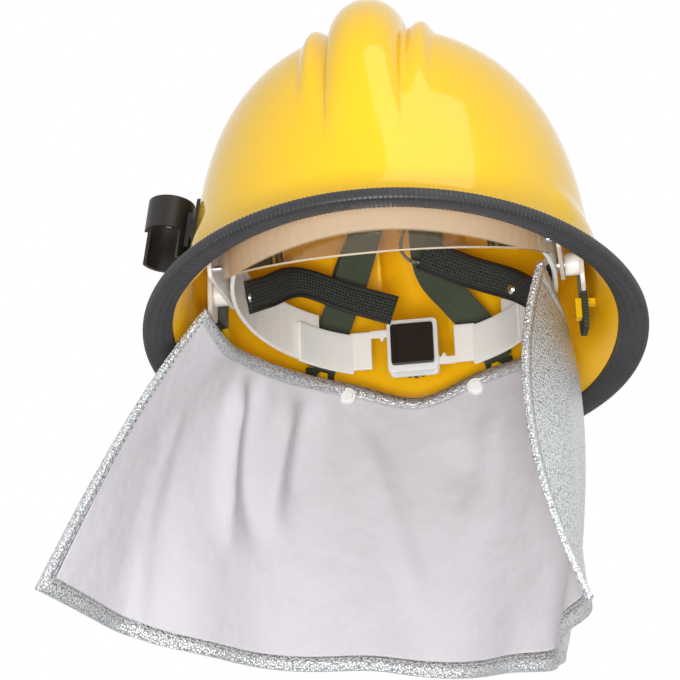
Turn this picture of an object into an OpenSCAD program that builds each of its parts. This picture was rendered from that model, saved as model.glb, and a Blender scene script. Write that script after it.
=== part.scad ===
// Fire helmet with a stowed eye shield, nape ratchet, torch clip and neck cape.
// Millimetres. The wearer faces -Y, +Z is up and the origin is the centre of the
// head opening, in the plane of the brim.

/* [Shell] */
// Half width of the dome at its base
dome_half_w = 103; // [100:1:108]
// Reach of the dome in front of the centre
dome_front = 127; // [124:1:132]
// Reach of the dome behind the centre
dome_rear = 131; // [128:1:138]
// Height of the dome without its crest
dome_h = 149; // [145:1:158]
// Fullness of the dome's section, where 2 is an ellipse
dome_power = 2.8; // [2.6:0.1:3.2]
// Wall thickness of the shell
shell_t = 2.6; // [2.2:0.1:3.4]

/* [Crest] */
// Height of the middle crest
crest_h = 14.5; // [8:0.5:18]
// Half width of the middle crest
crest_half_w = 18.5; // [14:0.5:22]
// Height of the low ridge on each side of the crest
ridge_h = 4.5; // [2:0.5:7]
// Half width of the low ridge
ridge_half_w = 6.5; // [4:0.5:9]
// Width of the groove between crest and ridge
groove_w = 1.5; // [1:0.5:4]

/* [Brim] */
// Half width of the shell at the brim's edge
brim_half_w = 126.5; // [122:0.5:132]
// Reach of the brim in front of the centre
brim_front = 152; // [148:1:158]
// Reach of the brim behind the centre
brim_rear = 164; // [158:1:170]
// Height over which the dome flares out into the brim
flare_h = 24; // [18:1:30]
// How far the brim droops at its sides
brim_droop = 4; // [0:0.5:7]
// How far the side fairing swells out of the dome
fairing_out = 3.5; // [1:0.5:5]

/* [Edge trim] */
// Depth of the rubber channel on the brim
trim_depth = 12; // [8:1:15]
// Thickness of the channel's legs
trim_leg = 1.6; // [1.2:0.1:2.4]

/* [Headband] */
// Room from the dome's half width to the headband's
band_side_room = 19; // [18:0.5:22]
// Room from the dome's front to the headband's
band_front_room = 23; // [22:0.5:26]
// Height of the headband's lower edge
band_low = 22; // [18:1:26]
// Height of the headband itself
band_h = 30; // [24:1:34]
// Thickness of the headband
band_t = 2; // [1.6:0.1:2.4]

/* [Nape ratchet] */
// Module of the rack and pinion
gear_module = 1.2; // [1.2:0.1:1.3]
// Teeth on the pinion
pinion_teeth = 10; // [10:1:11]
// Travel of each nape strap
strap_travel = 8; // [5:0.5:9]
// Width of the ratchet housing
ratchet_w = 28; // [27:1:32]
// Height of the ratchet housing
ratchet_h = 31; // [31:1:36]
// Radius of the ratchet knob
knob_r = 13; // [10:0.5:15]

/* [Crown straps] */
// Width of the crown webbing
web_w = 19; // [15:1:22]
// Thickness of the crown webbing
web_t = 1.2; // [1:0.1:1.5]
// Height of the crown straps over the brim plane
crown_z = 118; // [112:1:122]

/* [Eye shield] */
// Thickness of the eye shield
visor_t = 2; // [1.6:0.1:2.4]
// Height of the eye shield's sheet, as an angle about its pivots
visor_angle = 27; // [22:1:29]
// Height of the pivots over the brim plane
pivot_z = 35; // [32:1:38]
// Radius of the pivot pins
pivot_r = 2.5; // [2:0.1:3]

/* [Torch clip] */
// Bore radius of the torch clip
clip_r = 10.5; // [9:0.5:12]
// Wall of the torch clip
clip_t = 2; // [1.6:0.1:2.4]
// Length of the torch clip
clip_len = 34; // [30:1:42]
// Height of the torch clip over the brim plane
clip_z = 66; // [60:1:68]

/* [Neck cape] */
// Thickness of the cape's lined cloth
cape_t = 2; // [1.6:0.1:2.6]
// Width of the silver binding round the cape
binding_w = 8; // [6:1:11]
// Depth of the cape's main folds at the hem
fold_depth = 5; // [0:1:7]

/* [Hidden] */
gap = 0.3;
run = 0.06;
smooth_fn = 64;

// Headband sizes, and the sizes that the routes below were laid out for
band_half_w = dome_half_w - band_side_room;
band_half_l = dome_front - band_front_room;
laid_half_w = 103;
laid_rear = 131;
function fitted(p) = [p[0] * dome_half_w / laid_half_w, p[1] * dome_rear / laid_rear, p[2]];
function fitted_route(r) = [for (p = r) fitted(p)];

yellow = "#f4c92a";
rubber = "#3f4043";
clear_white = "#e9dccb";
olive = "#3e4a33";
mesh_black = "#2f342e";
silver = "#c9cdce";
black = "#2c2927";

// Shared rules for the dome, crest and flare
function ramp(lo, hi, v) = let (t = max(0, min(1, (v - lo) / (hi - lo)))) t * t * (3 - 2 * t);
function spow(v, p) = sign(v) * pow(abs(v), p);
dome_r1 = pow(1 - pow(flare_h / dome_h, dome_power), 1 / dome_power);
ridge_mid = crest_half_w + groove_w + ridge_half_w;
crest_fade = [30, 112];
ridge_fade = [58, 118];
fairing_top = 46;
fairing_reach = 78;
function crest_profile(x) = abs(x) >= crest_half_w ? 0
    : crest_h * pow(1 - pow(abs(x) / crest_half_w, 2.2), 0.75);
function ridge_profile(x) = let (d = abs(abs(x) - ridge_mid) / ridge_half_w)
    d >= 1 ? 0 : ridge_h * pow(cos(90 * d), 1.3);
function fairing(y, z) = fairing_out * (1 - ramp(fairing_top - 14, fairing_top, z))
    * (1 - ramp(fairing_reach - 22, fairing_reach, abs(y)));
function dome_len(s) = s < 0 ? dome_front : dome_rear;
function brim_len(s) = s < 0 ? brim_front : brim_rear;
function unit(v) = v / norm(v);
// A point of the dome from its plan position p, q in the unit circle, w inside the outer face
function dome_point(p, q, w) = let (
    r = min(sqrt(p * p + q * q), 0.9999),
    len = dome_len(q),
    z = dome_h * pow(1 - pow(r, dome_power), 1 / dome_power),
    x = dome_half_w * p,
    y = len * q,
    k = r < 0.001 ? 0 : pow(r, dome_power - 2),
    n = unit([k * p / dome_half_w, k * q / len, pow(z / dome_h, dome_power - 1) / dome_h]),
    rise = crest_profile(x) * ramp(crest_fade[0], crest_fade[1], z)
        + ridge_profile(x) * ramp(ridge_fade[0], ridge_fade[1], z))
    [x, y, z] + n * (rise - w) + [sign(x) * fairing(y, z) * ramp(0.5, 0.9, abs(p)), 0, 0];
// A point of the flare at the plan angle a, from turn 90 on the dome to 0 at the brim's edge
function flare_point(a, turn, w) = let (
    c = cos(a), s = sin(a),
    base = [dome_half_w * dome_r1 * c + sign(c) * fairing(dome_len(s) * s, flare_h)
        * ramp(0.5, 0.9, abs(c)), dome_len(s) * dome_r1 * s],
    edge = [brim_half_w * c, brim_len(s) * s],
    out = unit([edge[0] - base[0] * 0.6, edge[1] - base[1] * 0.6]),
    plan = edge + (base - edge) * sin(turn) - out * w * sin(turn),
    z = flare_h * (1 - cos(turn)) - brim_droop * c * c * cos(turn) - w * cos(turn))
    [plan[0], plan[1], z];

// Plan stations across the shell, closer together over the crest and ridges
crest_stations = [for (k = [0.25, 0.5, 0.72, 0.88, 1]) crest_half_w * k];
ridge_stations = [for (k = [-1, -0.6, -0.2, 0.2, 0.6, 1]) ridge_mid + ridge_half_w * k];
side_steps = 9;
dome_reach_w = dome_half_w * dome_r1;
last_station = acos((ridge_mid + ridge_half_w) / dome_reach_w);
half_angles = concat([90], [for (x = crest_stations) acos(x / dome_reach_w)],
    [for (x = ridge_stations) acos(x / dome_reach_w)],
    [for (k = [1:side_steps]) last_station * (1 - k / side_steps)]);
half_count = len(half_angles) - 1;
across = 2 * half_count;
function across_angle(i) = i <= half_count ? 180 - half_angles[half_count - i]
    : half_angles[i - half_count];
along = 28;
rings = 6;
ring_count = 2 * across;
// The plan angle of each column round the brim, from the left side round the front
function column_angle(b) = b <= across ? -across_angle(b) : across_angle(ring_count - b);

function dome_index(i, j) = i == 0 ? 0 : i == across ? 1 : 2 + (i - 1) * (along + 1) + j;
dome_points_n = 2 + (across - 1) * (along + 1);
function rim_index(b) = b <= across ? dome_index(b, 0) : dome_index(ring_count - b, along);
function skin_index(b, k) = let (m = (b + ring_count) % ring_count)
    k == 0 ? rim_index(m) : dome_points_n + (k - 1) * ring_count + m;
skin_n = dome_points_n + rings * ring_count;
function dome_grid_point(i, j, w) = let (
    a = across_angle(i),
    v = 2 * j / along - 1)
    dome_point(dome_r1 * cos(a), dome_r1 * sin(a) * sin(90 * v), w);
function skin_points(w) = concat(
    [dome_grid_point(0, 0, w), dome_grid_point(across, 0, w)],
    [for (i = [1:across - 1]) for (j = [0:along]) dome_grid_point(i, j, w)],
    [for (k = [1:rings]) for (b = [0:ring_count - 1])
        flare_point(column_angle(b), 90 * (1 - k / rings), w)]);
function quad(a, b, c, d) = [[a, b, c], [a, c, d]];
// The dome's faces come in quads between stations, with a fan at each side pole
skin_faces = concat(
    [for (j = [0:along - 1]) [dome_index(0, 0), dome_index(1, j + 1), dome_index(1, j)]],
    [for (j = [0:along - 1])
        [dome_index(across, 0), dome_index(across - 1, j), dome_index(across - 1, j + 1)]],
    [for (i = [1:across - 2]) for (j = [0:along - 1])
        each quad(dome_index(i, j), dome_index(i, j + 1), dome_index(i + 1, j + 1),
            dome_index(i + 1, j))],
    [for (k = [0:rings - 1]) for (b = [0:ring_count - 1])
        each quad(skin_index(b, k), skin_index(b + 1, k), skin_index(b + 1, k + 1),
            skin_index(b, k + 1))]);
function turned(faces, shift) = [for (f = faces) [f[0] + shift, f[2] + shift, f[1] + shift]];

// Moulded shell, one wall from crest to brim
module shell_wall() {
    edge_faces = [for (b = [0:ring_count - 1])
        each quad(skin_index(b, rings), skin_index(b + 1, rings),
            skin_index(b + 1, rings) + skin_n, skin_index(b, rings) + skin_n)];
    polyhedron(points = concat(skin_points(0), skin_points(shell_t)),
        faces = concat(skin_faces, turned(skin_faces, skin_n), edge_faces));
}

module shell() {
    color(yellow) shell_wall();
}

// Ribbed rubber channel that grips the brim's edge
trim_clear = 0.15;
trim_out = 1.5;
// The flare's upper or lower face, d inside the brim's edge, for the plan angle a
function brim_turn(a, d) = let (
    edge = flare_point(a, 0, 0), base = flare_point(a, 90, 0),
    depth = norm([edge[0] - base[0], edge[1] - base[1]]))
    asin(min(1, d / depth));
function trim_ring(a) = let (
    lift = trim_clear + trim_leg,
    o = unit([cos(a) / brim_half_w, sin(a) / brim_len(sin(a)), 0]),
    t2 = brim_turn(a, trim_depth), t1 = brim_turn(a, trim_depth * 0.5),
    up = [0, 0, 1],
    e = flare_point(a, 0, 0), e2 = flare_point(a, 0, shell_t),
    a2 = flare_point(a, t2, 0), b2 = flare_point(a, t2, shell_t),
    a1 = flare_point(a, t1, 0), b1 = flare_point(a, t1, shell_t))
    [a2 + up * lift, a1 + up * lift, e + up * (lift - 0.4) + o * trim_out * 0.5,
    e + up * lift * 0.3 + o * trim_out, e2 - up * lift * 0.3 + o * trim_out,
    e2 - up * (lift - 0.4) + o * trim_out * 0.5, b1 - up * lift, b2 - up * lift,
    b2 - up * trim_clear, b1 - up * trim_clear, e2 - up * trim_clear + o * trim_clear,
    e + up * trim_clear + o * trim_clear, a1 + up * trim_clear, a2 + up * trim_clear];
// Faces of a closed tube made of rings with n points each, wrapped round m rings
function loop_faces(m, n) = [for (i = [0:m - 1]) for (j = [0:n - 1])
    each quad(i * n + j, i * n + (j + 1) % n, ((i + 1) % m) * n + (j + 1) % n,
        ((i + 1) % m) * n + j)];
module edge_trim() {
    trim_rings = [for (b = [0:ring_count - 1]) trim_ring(column_angle(b))];
    color(rubber) polyhedron(points = [for (r = trim_rings) each r],
        faces = loop_faces(ring_count, len(trim_rings[0])));
}

// Faces of an open tube made of m rings with n points each, closed at both ends
function tube_faces(m, n) = concat(
    [for (i = [0:m - 2]) for (j = [0:n - 1])
        each quad(i * n + j, i * n + (j + 1) % n, (i + 1) * n + (j + 1) % n, (i + 1) * n + j)],
    [for (j = [1:n - 2]) [0, j + 1, j]],
    [for (j = [1:n - 2]) [(m - 1) * n, (m - 1) * n + j, (m - 1) * n + j + 1]]);
// A flat ribbon along a path, with a width direction for each point
function ribbon_ring(p, side, face, w, t) = [p - side * w / 2 - face * t / 2,
    p + side * w / 2 - face * t / 2, p + side * w / 2 + face * t / 2,
    p - side * w / 2 + face * t / 2];
module ribbon(path, sides, w, t) {
    last = len(path) - 1;
    rings_of = [for (i = [0:last]) let (
        along_dir = unit(path[min(i + 1, last)] - path[max(i - 1, 0)]),
        side = unit(sides[i] - along_dir * (sides[i] * along_dir)))
        ribbon_ring(path[i], side, cross(along_dir, side), w, t)];
    polyhedron(points = [for (r = rings_of) each r], faces = tube_faces(last + 1, 4));
}
// A smooth curve through a few points, with steps pieces in each span
function curve_at(p, k, t) = let (
    last = len(p) - 1,
    a = p[max(k - 1, 0)], b = p[k], c = p[min(k + 1, last)], d = p[min(k + 2, last)])
    b + 0.5 * t * ((c - a) + t * ((2 * a - 5 * b + 4 * c - d) + t * (3 * b - a - 3 * c + d)));
function smooth_path(p, steps) = concat(
    [for (k = [0:len(p) - 2]) for (s = [0:steps - 1]) curve_at(p, k, s / steps)],
    [p[len(p) - 1]]);

// Band shapes in plan, an ellipse ring from angle a0 to a1
function arc_points(hw, hl, a0, a1, n) = [for (k = [0:n]) let (a = a0 + (a1 - a0) * k / n)
    [hw * cos(a), hl * sin(a)]];
module band_sector(hw, hl, t, a0, a1, n) {
    polygon(concat(arc_points(hw, hl, a0, a1, n), arc_points(hw - t, hl - t, a1, a0, n)));
}
headband_end = 52;
module headband() {
    color(clear_white) translate([0, 0, band_low])
        linear_extrude(band_h)
            band_sector(band_half_w, band_half_l, band_t, -180 - headband_end,
                headband_end, 60);
}

// Soft pad inside the front of the headband
brow_pad_t = 5;
brow_pad_span = 48;
module brow_pad() {
    color(mesh_black) translate([0, 0, band_low + 3])
        linear_extrude(band_h - 6)
            band_sector(band_half_w - band_t, band_half_l - band_t, brow_pad_t,
                -90 - brow_pad_span, -90 + brow_pad_span, 28);
}

// Comfort bands run from the headband's sides to the rear: the right one to the crown, the
// left one to the ratchet's frame
comfort_w = 17;
comfort_t = 1.8;
comfort_y = 18;
comfort_x = (band_half_w - band_t) * sqrt(1 - pow(comfort_y / (band_half_l - band_t), 2))
    - comfort_t / 2;
comfort_route_right = concat([[comfort_x, comfort_y, band_low + 9]],
    fitted_route([[73.4, 40, 32.7], [58.1, 62, 51.7], [34.7, 74, 67.6], [8.6, 78, 83.1]]));
comfort_route_left = concat([[-comfort_x, comfort_y, band_low + 14]],
    fitted_route([[-76, 43, 51], [-59.3, 67, 67], [-33.4, 82.5, 62], [-9, 86.7, 54]]));
comfort_sides = [[0, 0, 1], [-0.1, 0, 1], [-0.2, -0.1, 1], [-0.2, -0.3, 1], [0, -0.4, 1]];
upright_sides = [for (p = comfort_sides) [0, 0, 1]];
module comfort_band(route, sides) {
    color(mesh_black) ribbon(smooth_path(route, 5), smooth_path(sides, 5), comfort_w, comfort_t);
}
module comfort_band_right() {
    comfort_band(comfort_route_right, comfort_sides);
}
module comfort_band_left() {
    comfort_band(comfort_route_left, upright_sides);
}

// Round lace from the right rear webbing to the upper end of the right comfort band
lace_r = 1;
lace_sides = 8;
lace_route = fitted_route([[5, 60, 102], [-2.3, 76, 92], [-2.1, 79, 85], [3, 80, 80],
    [12, 80.2, 78.6]]);
module cord(path, r) {
    last = len(path) - 1;
    rings_of = [for (i = [0:last]) let (
        along_dir = unit(path[min(i + 1, last)] - path[max(i - 1, 0)]),
        side = unit(cross(along_dir, [0.3, 1, 0.2])), other = cross(along_dir, side))
        [for (k = [0:lace_sides - 1])
            path[i] + r * (cos(360 * k / lace_sides) * side + sin(360 * k / lace_sides) * other)]];
    polyhedron(points = [for (q = rings_of) each q], faces = tube_faces(last + 1, lace_sides));
}
module crown_lace() {
    color("dimgray") cord(smooth_path(lace_route, 5), lace_r);
}

// Webbing straps over the crown, in upright planes
strap_power = 0.75;
web_layer = web_t + gap;
// Rear anchors of the diagonal straps on the shell's wall, and front ends on the headband
rear_x_right = 46;
rear_x_left = 54;
rear_z = 29;
function wall_y(x, z, w) = let (
    f = pow(1 - pow(z / dome_h, dome_power), 1 / dome_power))
    (dome_rear * f - w) * sqrt(1 - pow(x / (dome_half_w * f - w), 2));
anchor_off = 3.2;
function rear_anchor(x) = [x, wall_y(x, rear_z, shell_t + anchor_off), rear_z];
front_x = 45;
front_anchor = [front_x, -(band_half_l + web_t / 2)
    * sqrt(1 - pow(front_x / (band_half_w + web_t / 2), 2)), band_low + band_h * 0.72];
side_anchor = [dome_half_w - 7.4, 27, 25];
function flipped(p) = [-p[0], p[1], p[2]];
function arch(a, b, top, n) = [for (k = [0:n]) let (
    c = cos(180 * k / n), e = c > 0 ? a : b, f = pow(abs(c), strap_power))
    [e[0] * f, e[1] * f, e[2] + (top - e[2]) * pow(sin(180 * k / n), strap_power)]];
// Width direction of a strap that lies flat on an oval wall at p, on the same side as mid
function wall_turn(p) = atan2(p[1] / pow(dome_rear, 2), p[0] / pow(dome_half_w, 2));
function flat_side(p, mid) = let (t = wall_turn(p), side = [-sin(t), cos(t), 0])
    side * sign(side * mid);
// The strap twists from flat on the wall at each end to square on its run over the crown
function strap_sides(a, b, mid, n) = [for (k = [0:n]) let (w = pow(abs(2 * k / n - 1), 3))
    unit(mid * (1 - w) + flat_side(2 * k < n ? a : b, mid) * w)];
strap_steps = 28;
module side_strap() {
    path = [for (p = arch(side_anchor, flipped(side_anchor), crown_z - 2 * web_layer - 4 * gap,
        strap_steps)) [p[0], side_anchor[1] * pow(abs(p[0]) / side_anchor[0], 0.8), p[2]]];
    color(olive) ribbon(path,
        strap_sides(side_anchor, flipped(side_anchor), [0, 1, 0], strap_steps), web_w, web_t);
}
// A diagonal strap follows an arch from the front to the crown, then hangs slack to the rear
head_mid = [0, 5, 20];
module diagonal_strap(front, rear, rear_route, top) {
    front_half = [for (k = [0:strap_steps / 2 - 1]) arch(front, front, top, strap_steps)[k]];
    path = concat(front_half,
        smooth_path(concat([[0, 0, top]], fitted_route(rear_route), [rear]), 4));
    last = len(path) - 1;
    sides = [for (k = [0:last]) let (
        along_dir = unit(path[min(k + 1, last)] - path[max(k - 1, 0)]),
        across_dir = unit(cross(along_dir, path[k] - head_mid)),
        w = pow(max(0, 4 * k / last - 3), 2))
        unit(across_dir * (1 - w) + flat_side(rear, across_dir) * w)];
    color(olive) ribbon(path, sides, web_w, web_t);
}
module diagonal_strap_a() {
    diagonal_strap(flipped(front_anchor), rear_anchor(rear_x_right),
        [[8, 35, 115.5], [11.5, 64, 101], [11.8, 94, 81], [24.5, 96, 61.5], [34.5, 102, 50],
        [42.5, 107.5, 38]], crown_z);
}
module diagonal_strap_b() {
    diagonal_strap(front_anchor, rear_anchor(-rear_x_left),
        [[-9, 35, 113.8], [-17, 58, 101.5], [-26, 78, 88], [-34, 92, 74], [-43.7, 98, 53.5],
        [-50.5, 103, 38]], crown_z - web_layer - 2 * gap);
}

// Smooth black strap from the left rear webbing to the shell's rear wall
tape_w = 10;
tape_x = 45;
tape_z = 60;
rear_strap_route = concat(fitted_route([[-17, 56, 103.2], [-28.8, 79, 95], [-37.5, 91, 84],
    [-42, 99, 73]]), [[-tape_x, wall_y(tape_x, tape_z, shell_t + 0.2), tape_z]]);
module rear_strap() {
    path = smooth_path(rear_strap_route, 4);
    color(black) ribbon(path, [for (p = path) [1, 0.35, 0]], tape_w, 1.2);
}

// Folded and sewn ends of the webbing, slotted over moulded hooks on the shell's wall
end_h = 22;
short_end_h = 15;
end_t = 2.6;
hook_w = 4.6;
hook_t = 3;
hook_drop = 11;
hook_down = 3;
side_hook = 7.5;
module at_anchor(p) {
    translate(p) rotate([0, 0, wall_turn(p)]) children();
}
module strap_end(h) {
    difference() {
        hull() {
            translate([-end_t / 2, -web_w / 2 + 1, -1]) cube([end_t, web_w - 2, 1]);
            for (s = [-1, 1]) translate([-end_t / 2, s * 2.5, -h + 6]) rotate([0, 90, 0])
                cylinder(r = 6, h = end_t, $fn = 24);
        }
        translate([-end_t, -hook_w / 2 - gap, -hook_down - hook_t])
            cube([end_t * 2, hook_w + 2 * gap, hook_t + gap]);
    }
}
module strap_ends() {
    color(mesh_black) {
        at_anchor(side_anchor) strap_end(end_h);
        at_anchor(flipped(side_anchor)) strap_end(short_end_h);
        for (x = [rear_x_right, -rear_x_left]) at_anchor(rear_anchor(x)) strap_end(end_h);
    }
}
// Hook whose bridge goes through the strap's slot and whose finger hangs on the head's side
module hook(reach) {
    translate([-end_t / 2 - hook_t, -hook_w / 2, -hook_down - hook_t])
        cube([end_t / 2 + hook_t + reach, hook_w, hook_t]);
    translate([-end_t / 2 - hook_t, -hook_w / 2, -hook_down - hook_drop])
        cube([hook_t, hook_w, hook_drop]);
}
module shell_hooks() {
    color(yellow) {
        for (p = [side_anchor, flipped(side_anchor)]) at_anchor(p) hook(side_hook);
        for (x = [rear_x_right, -rear_x_left]) at_anchor(rear_anchor(x)) hook(anchor_off + 0.5);
    }
}

// Nape straps: wide at the headband's ends, then a tongue with a rack inside the ratchet
pitch_r = gear_module * pinion_teeth / 2;
ratchet_z = band_low + band_h / 2 - 4;
strap_t = 1.8;
strap_outer_w = band_half_w - band_t - gap;
strap_outer_l = band_half_l - band_t - gap;
strap_start = 42;
tongue_x = 34;
tongue_end_angle = acos(tongue_x / strap_outer_w);
tongue_y = strap_outer_l * sin(tongue_end_angle);
rack_depth = 1.25 * gear_module;
rack_tip = 0.6 * gear_module;
rack_bar = 4;
tooth_pitch = PI * gear_module;
pressure = 20;
tongue_reach = 6.5;
step_x = ratchet_w / 2 + strap_travel + 1;
step_h = 22;
module rack_profile() {
    half = tooth_pitch / 4 - 0.05;
    translate([-tongue_reach, rack_depth]) square([step_x + tongue_reach + 0.5, rack_bar]);
    for (k = [-1:floor((strap_travel + 8) / tooth_pitch)])
        translate([(k + 0.5) * tooth_pitch, 0])
            polygon([[-half - rack_depth * tan(pressure), rack_depth + 0.01],
                [-half + rack_tip * tan(pressure), -rack_tip],
                [half - rack_tip * tan(pressure), -rack_tip],
                [half + rack_depth * tan(pressure), rack_depth + 0.01]]);
}
// The right strap, whose rack is the lower one; rack_side -1 puts it above the pinion
module nape_strap(rack_side) {
    strap_low = band_low - 2;
    strap_h = band_h - 7;
    color(clear_white) {
        translate([0, 0, strap_low]) linear_extrude(strap_h)
            band_sector(strap_outer_w, strap_outer_l, strap_t, strap_start, tongue_end_angle, 12);
        translate([step_x, tongue_y - strap_t, ratchet_z - step_h / 2])
            cube([tongue_x - step_x + 0.6, strap_t, step_h]);
        translate([0, tongue_y, ratchet_z - rack_side * pitch_r])
            rotate([90, 0, 0]) linear_extrude(strap_t)
                mirror([0, rack_side > 0 ? 1 : 0, 0]) rack_profile();
    }
}
module nape_strap_right() {
    nape_strap(1);
}
module nape_strap_left() {
    mirror([1, 0, 0]) nape_strap(-1);
}

// Ratchet housing behind the tongues, and its cover on the head's side
rail_z = pitch_r + rack_depth + rack_bar + gap;
housing_back_t = 3.6;
housing_y = tongue_y + gap;
cover_t = 2.4;
cover_y = tongue_y - strap_t - gap - cover_t;
module rounded_plate(w, h, t, r) {
    rotate([-90, 0, 0]) linear_extrude(t) hull() for (x = [-1, 1]) for (z = [-1, 1])
        translate([x * (w / 2 - r), z * (h / 2 - r)]) circle(r = r, $fn = 24);
}
shaft_r = 3;
module ratchet_housing() {
    rail_h = ratchet_h / 2 - rail_z;
    color(clear_white) difference() {
        union() {
            translate([0, housing_y, ratchet_z])
                rounded_plate(ratchet_w, ratchet_h, housing_back_t, 3);
            for (s = [-1, 1])
                translate([-ratchet_w / 2 + 3, cover_y + cover_t,
                    ratchet_z + (s > 0 ? rail_z : -rail_z - rail_h)])
                    cube([ratchet_w - 6, housing_y - cover_y - cover_t + 1, rail_h]);
        }
        translate([0, housing_y - 1, ratchet_z]) rotate([-90, 0, 0])
            cylinder(r = shaft_r + run, h = housing_back_t + 2, $fn = smooth_fn);
    }
}
module ratchet_cover() {
    color(clear_white) translate([0, cover_y, ratchet_z])
        rounded_plate(ratchet_w, ratchet_h, cover_t, 3);
}
pad_size = ratchet_w - 4.5;
pad_t = 3;
pad_rim = 2;
module ratchet_pad() {
    color(black) difference() {
        translate([0, cover_y - pad_t, ratchet_z]) rounded_plate(pad_size, pad_size, pad_t, 1.5);
        translate([0, cover_y - pad_t - 1, ratchet_z])
            rounded_plate(pad_size - 2 * pad_rim, pad_size - 2 * pad_rim, 2, 1);
    }
}

// Involute pinion between the two racks, with a short shaft to the knob
function involute(rb, t) = [rb * (cos(t) + t * PI / 180 * sin(t)),
    rb * (sin(t) - t * PI / 180 * cos(t))];
backlash = 0.35;
module pinion_profile() {
    rb = pitch_r * cos(pressure);
    ra = pitch_r + 0.9 * gear_module;
    rf = pitch_r - 1.2 * gear_module;
    t_end = sqrt(pow(ra / rb, 2) - 1) * 180 / PI;
    t_pitch = sqrt(pow(pitch_r / rb, 2) - 1) * 180 / PI;
    at_pitch = involute(rb, t_pitch);
    half = (tooth_pitch / 2 - backlash) / 2 / pitch_r * 180 / PI
        + atan2(at_pitch[1], at_pitch[0]);
    flank = [for (k = [0:6]) let (p = involute(rb, t_end * k / 6))
        [p[0] * cos(half) + p[1] * sin(half), p[0] * sin(half) - p[1] * cos(half)]];
    circle(r = rf, $fn = smooth_fn);
    for (k = [0:pinion_teeth - 1]) rotate(k * 360 / pinion_teeth)
        polygon(concat([[rf * 0.8, -rf * 0.8 * sin(half)]],
            [for (p = flank) [p[0], -p[1]]],
            [for (k = [6:-1:0]) [flank[k][0], flank[k][1]]],
            [[rf * 0.8, rf * 0.8 * sin(half)]]));
}
knob_gap = 0.4;
knob_y = housing_y + housing_back_t + knob_gap;
knob_depth = 9;
module ratchet_pinion() {
    color("gainsboro") {
        translate([0, tongue_y - 0.1, ratchet_z]) rotate([90, 0, 0])
            rotate([0, 0, 90]) linear_extrude(strap_t - 0.2) pinion_profile();
        translate([0, tongue_y - 0.15, ratchet_z]) rotate([-90, 0, 0])
            cylinder(r = shaft_r, h = knob_y - tongue_y + 0.15, $fn = smooth_fn);
    }
}
knob_ribs = 20;
screw_r = 2;
module ratchet_knob() {
    color(black) translate([0, knob_y, ratchet_z]) rotate([-90, 0, 0]) difference() {
        union() {
            cylinder(r = knob_r - 1.2, h = knob_depth, $fn = smooth_fn);
            for (k = [0:knob_ribs - 1]) rotate(k * 360 / knob_ribs)
                translate([knob_r - 1.6, -1, 0.8]) cube([1.6, 2, knob_depth - 1.6]);
        }
        translate([0, 0, knob_depth - 3]) cylinder(r = knob_r - 4, h = 4, $fn = smooth_fn);
    }
}
module knob_screw() {
    color(silver) translate([0, knob_y + knob_depth - 3, ratchet_z]) rotate([-90, 0, 0])
        difference() {
            cylinder(r = screw_r * 1.8, h = 1.8, $fn = smooth_fn);
            for (a = [0, 90]) rotate(a) translate([-screw_r * 1.3, -0.4, 1])
                cube([screw_r * 2.6, 0.8, 1]);
        }
}

// Eye shield, turned about the line through its two pivots
pivot_y = 10;
visor_gap = 6.4;
visor_plan_r = band_half_w;
visor_front_r = pivot_y + dome_front - shell_t - visor_gap;
visor_centre_r = visor_front_r - visor_plan_r;
visor_end = 82;
visor_low_angle = 20.4;
module on_pivot_axis() {
    translate([0, pivot_y, pivot_z]) rotate([0, 90, 0]) children();
}
module visor_profile() {
    steps = 36;
    function curve(r) = [for (k = [0:steps]) let (a = -visor_end + 2 * visor_end * k / steps)
        [visor_centre_r + r * cos(a), r * sin(a)]];
    outer = curve(visor_plan_r);
    inner = curve(visor_plan_r - visor_t);
    polygon(concat(outer, [for (k = [steps:-1:0]) inner[k]]));
}
module visor() {
    color("#e3c9a4") on_pivot_axis() rotate([0, 0, -90 - visor_angle + visor_low_angle])
        rotate_extrude(angle = visor_angle, $fn = 128) visor_profile();
}
// Arm that carries one end of the shield, flat against the headband's side
arm_t = 2;
arm_x = band_half_w + 1.6;
arm_pivot_r = 8;
arm_pad_r = visor_centre_r + visor_plan_r * cos(visor_end) + 8;
rivet_angles = [visor_low_angle - 6, visor_low_angle - visor_angle + 6];
function about_pivot(r, a) = [pivot_y - r * cos(a), pivot_z - r * sin(a)];
module arm_outline() {
    hull() {
        translate([pivot_y, pivot_z]) circle(r = arm_pivot_r, $fn = 48);
        for (a = rivet_angles) translate(about_pivot(arm_pad_r, a)) circle(r = 5, $fn = 32);
    }
}
module side_plate(x, t) {
    translate([x, 0, 0]) rotate([90, 0, 90]) linear_extrude(t) children();
}
module visor_arm() {
    color(clear_white) difference() {
        side_plate(arm_x, arm_t) arm_outline();
        translate([arm_x - 1, pivot_y, pivot_z]) rotate([0, 90, 0])
            cylinder(r = pivot_r + run, h = arm_t + 2, $fn = smooth_fn);
    }
}
module visor_arm_right() {
    visor_arm();
}
module visor_arm_left() {
    mirror([1, 0, 0]) visor_arm();
}
visor_rivet_r = 1.6;
module visor_rivets() {
    sheet_x = visor_plan_r * sin(visor_end) - visor_t - 1.2;
    color(silver) for (m = [0, 1]) mirror([m, 0, 0]) for (a = rivet_angles)
        translate([0, about_pivot(arm_pad_r, a)[0], about_pivot(arm_pad_r, a)[1]])
            rotate([0, 90, 0]) {
                translate([0, 0, sheet_x])
                    cylinder(r = visor_rivet_r, h = arm_x + arm_t - sheet_x + 0.2, $fn = 24);
                translate([0, 0, arm_x + arm_t + 0.1])
                    cylinder(r1 = 3, r2 = 2.2, h = 0.9, $fn = 32);
            }
}
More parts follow.
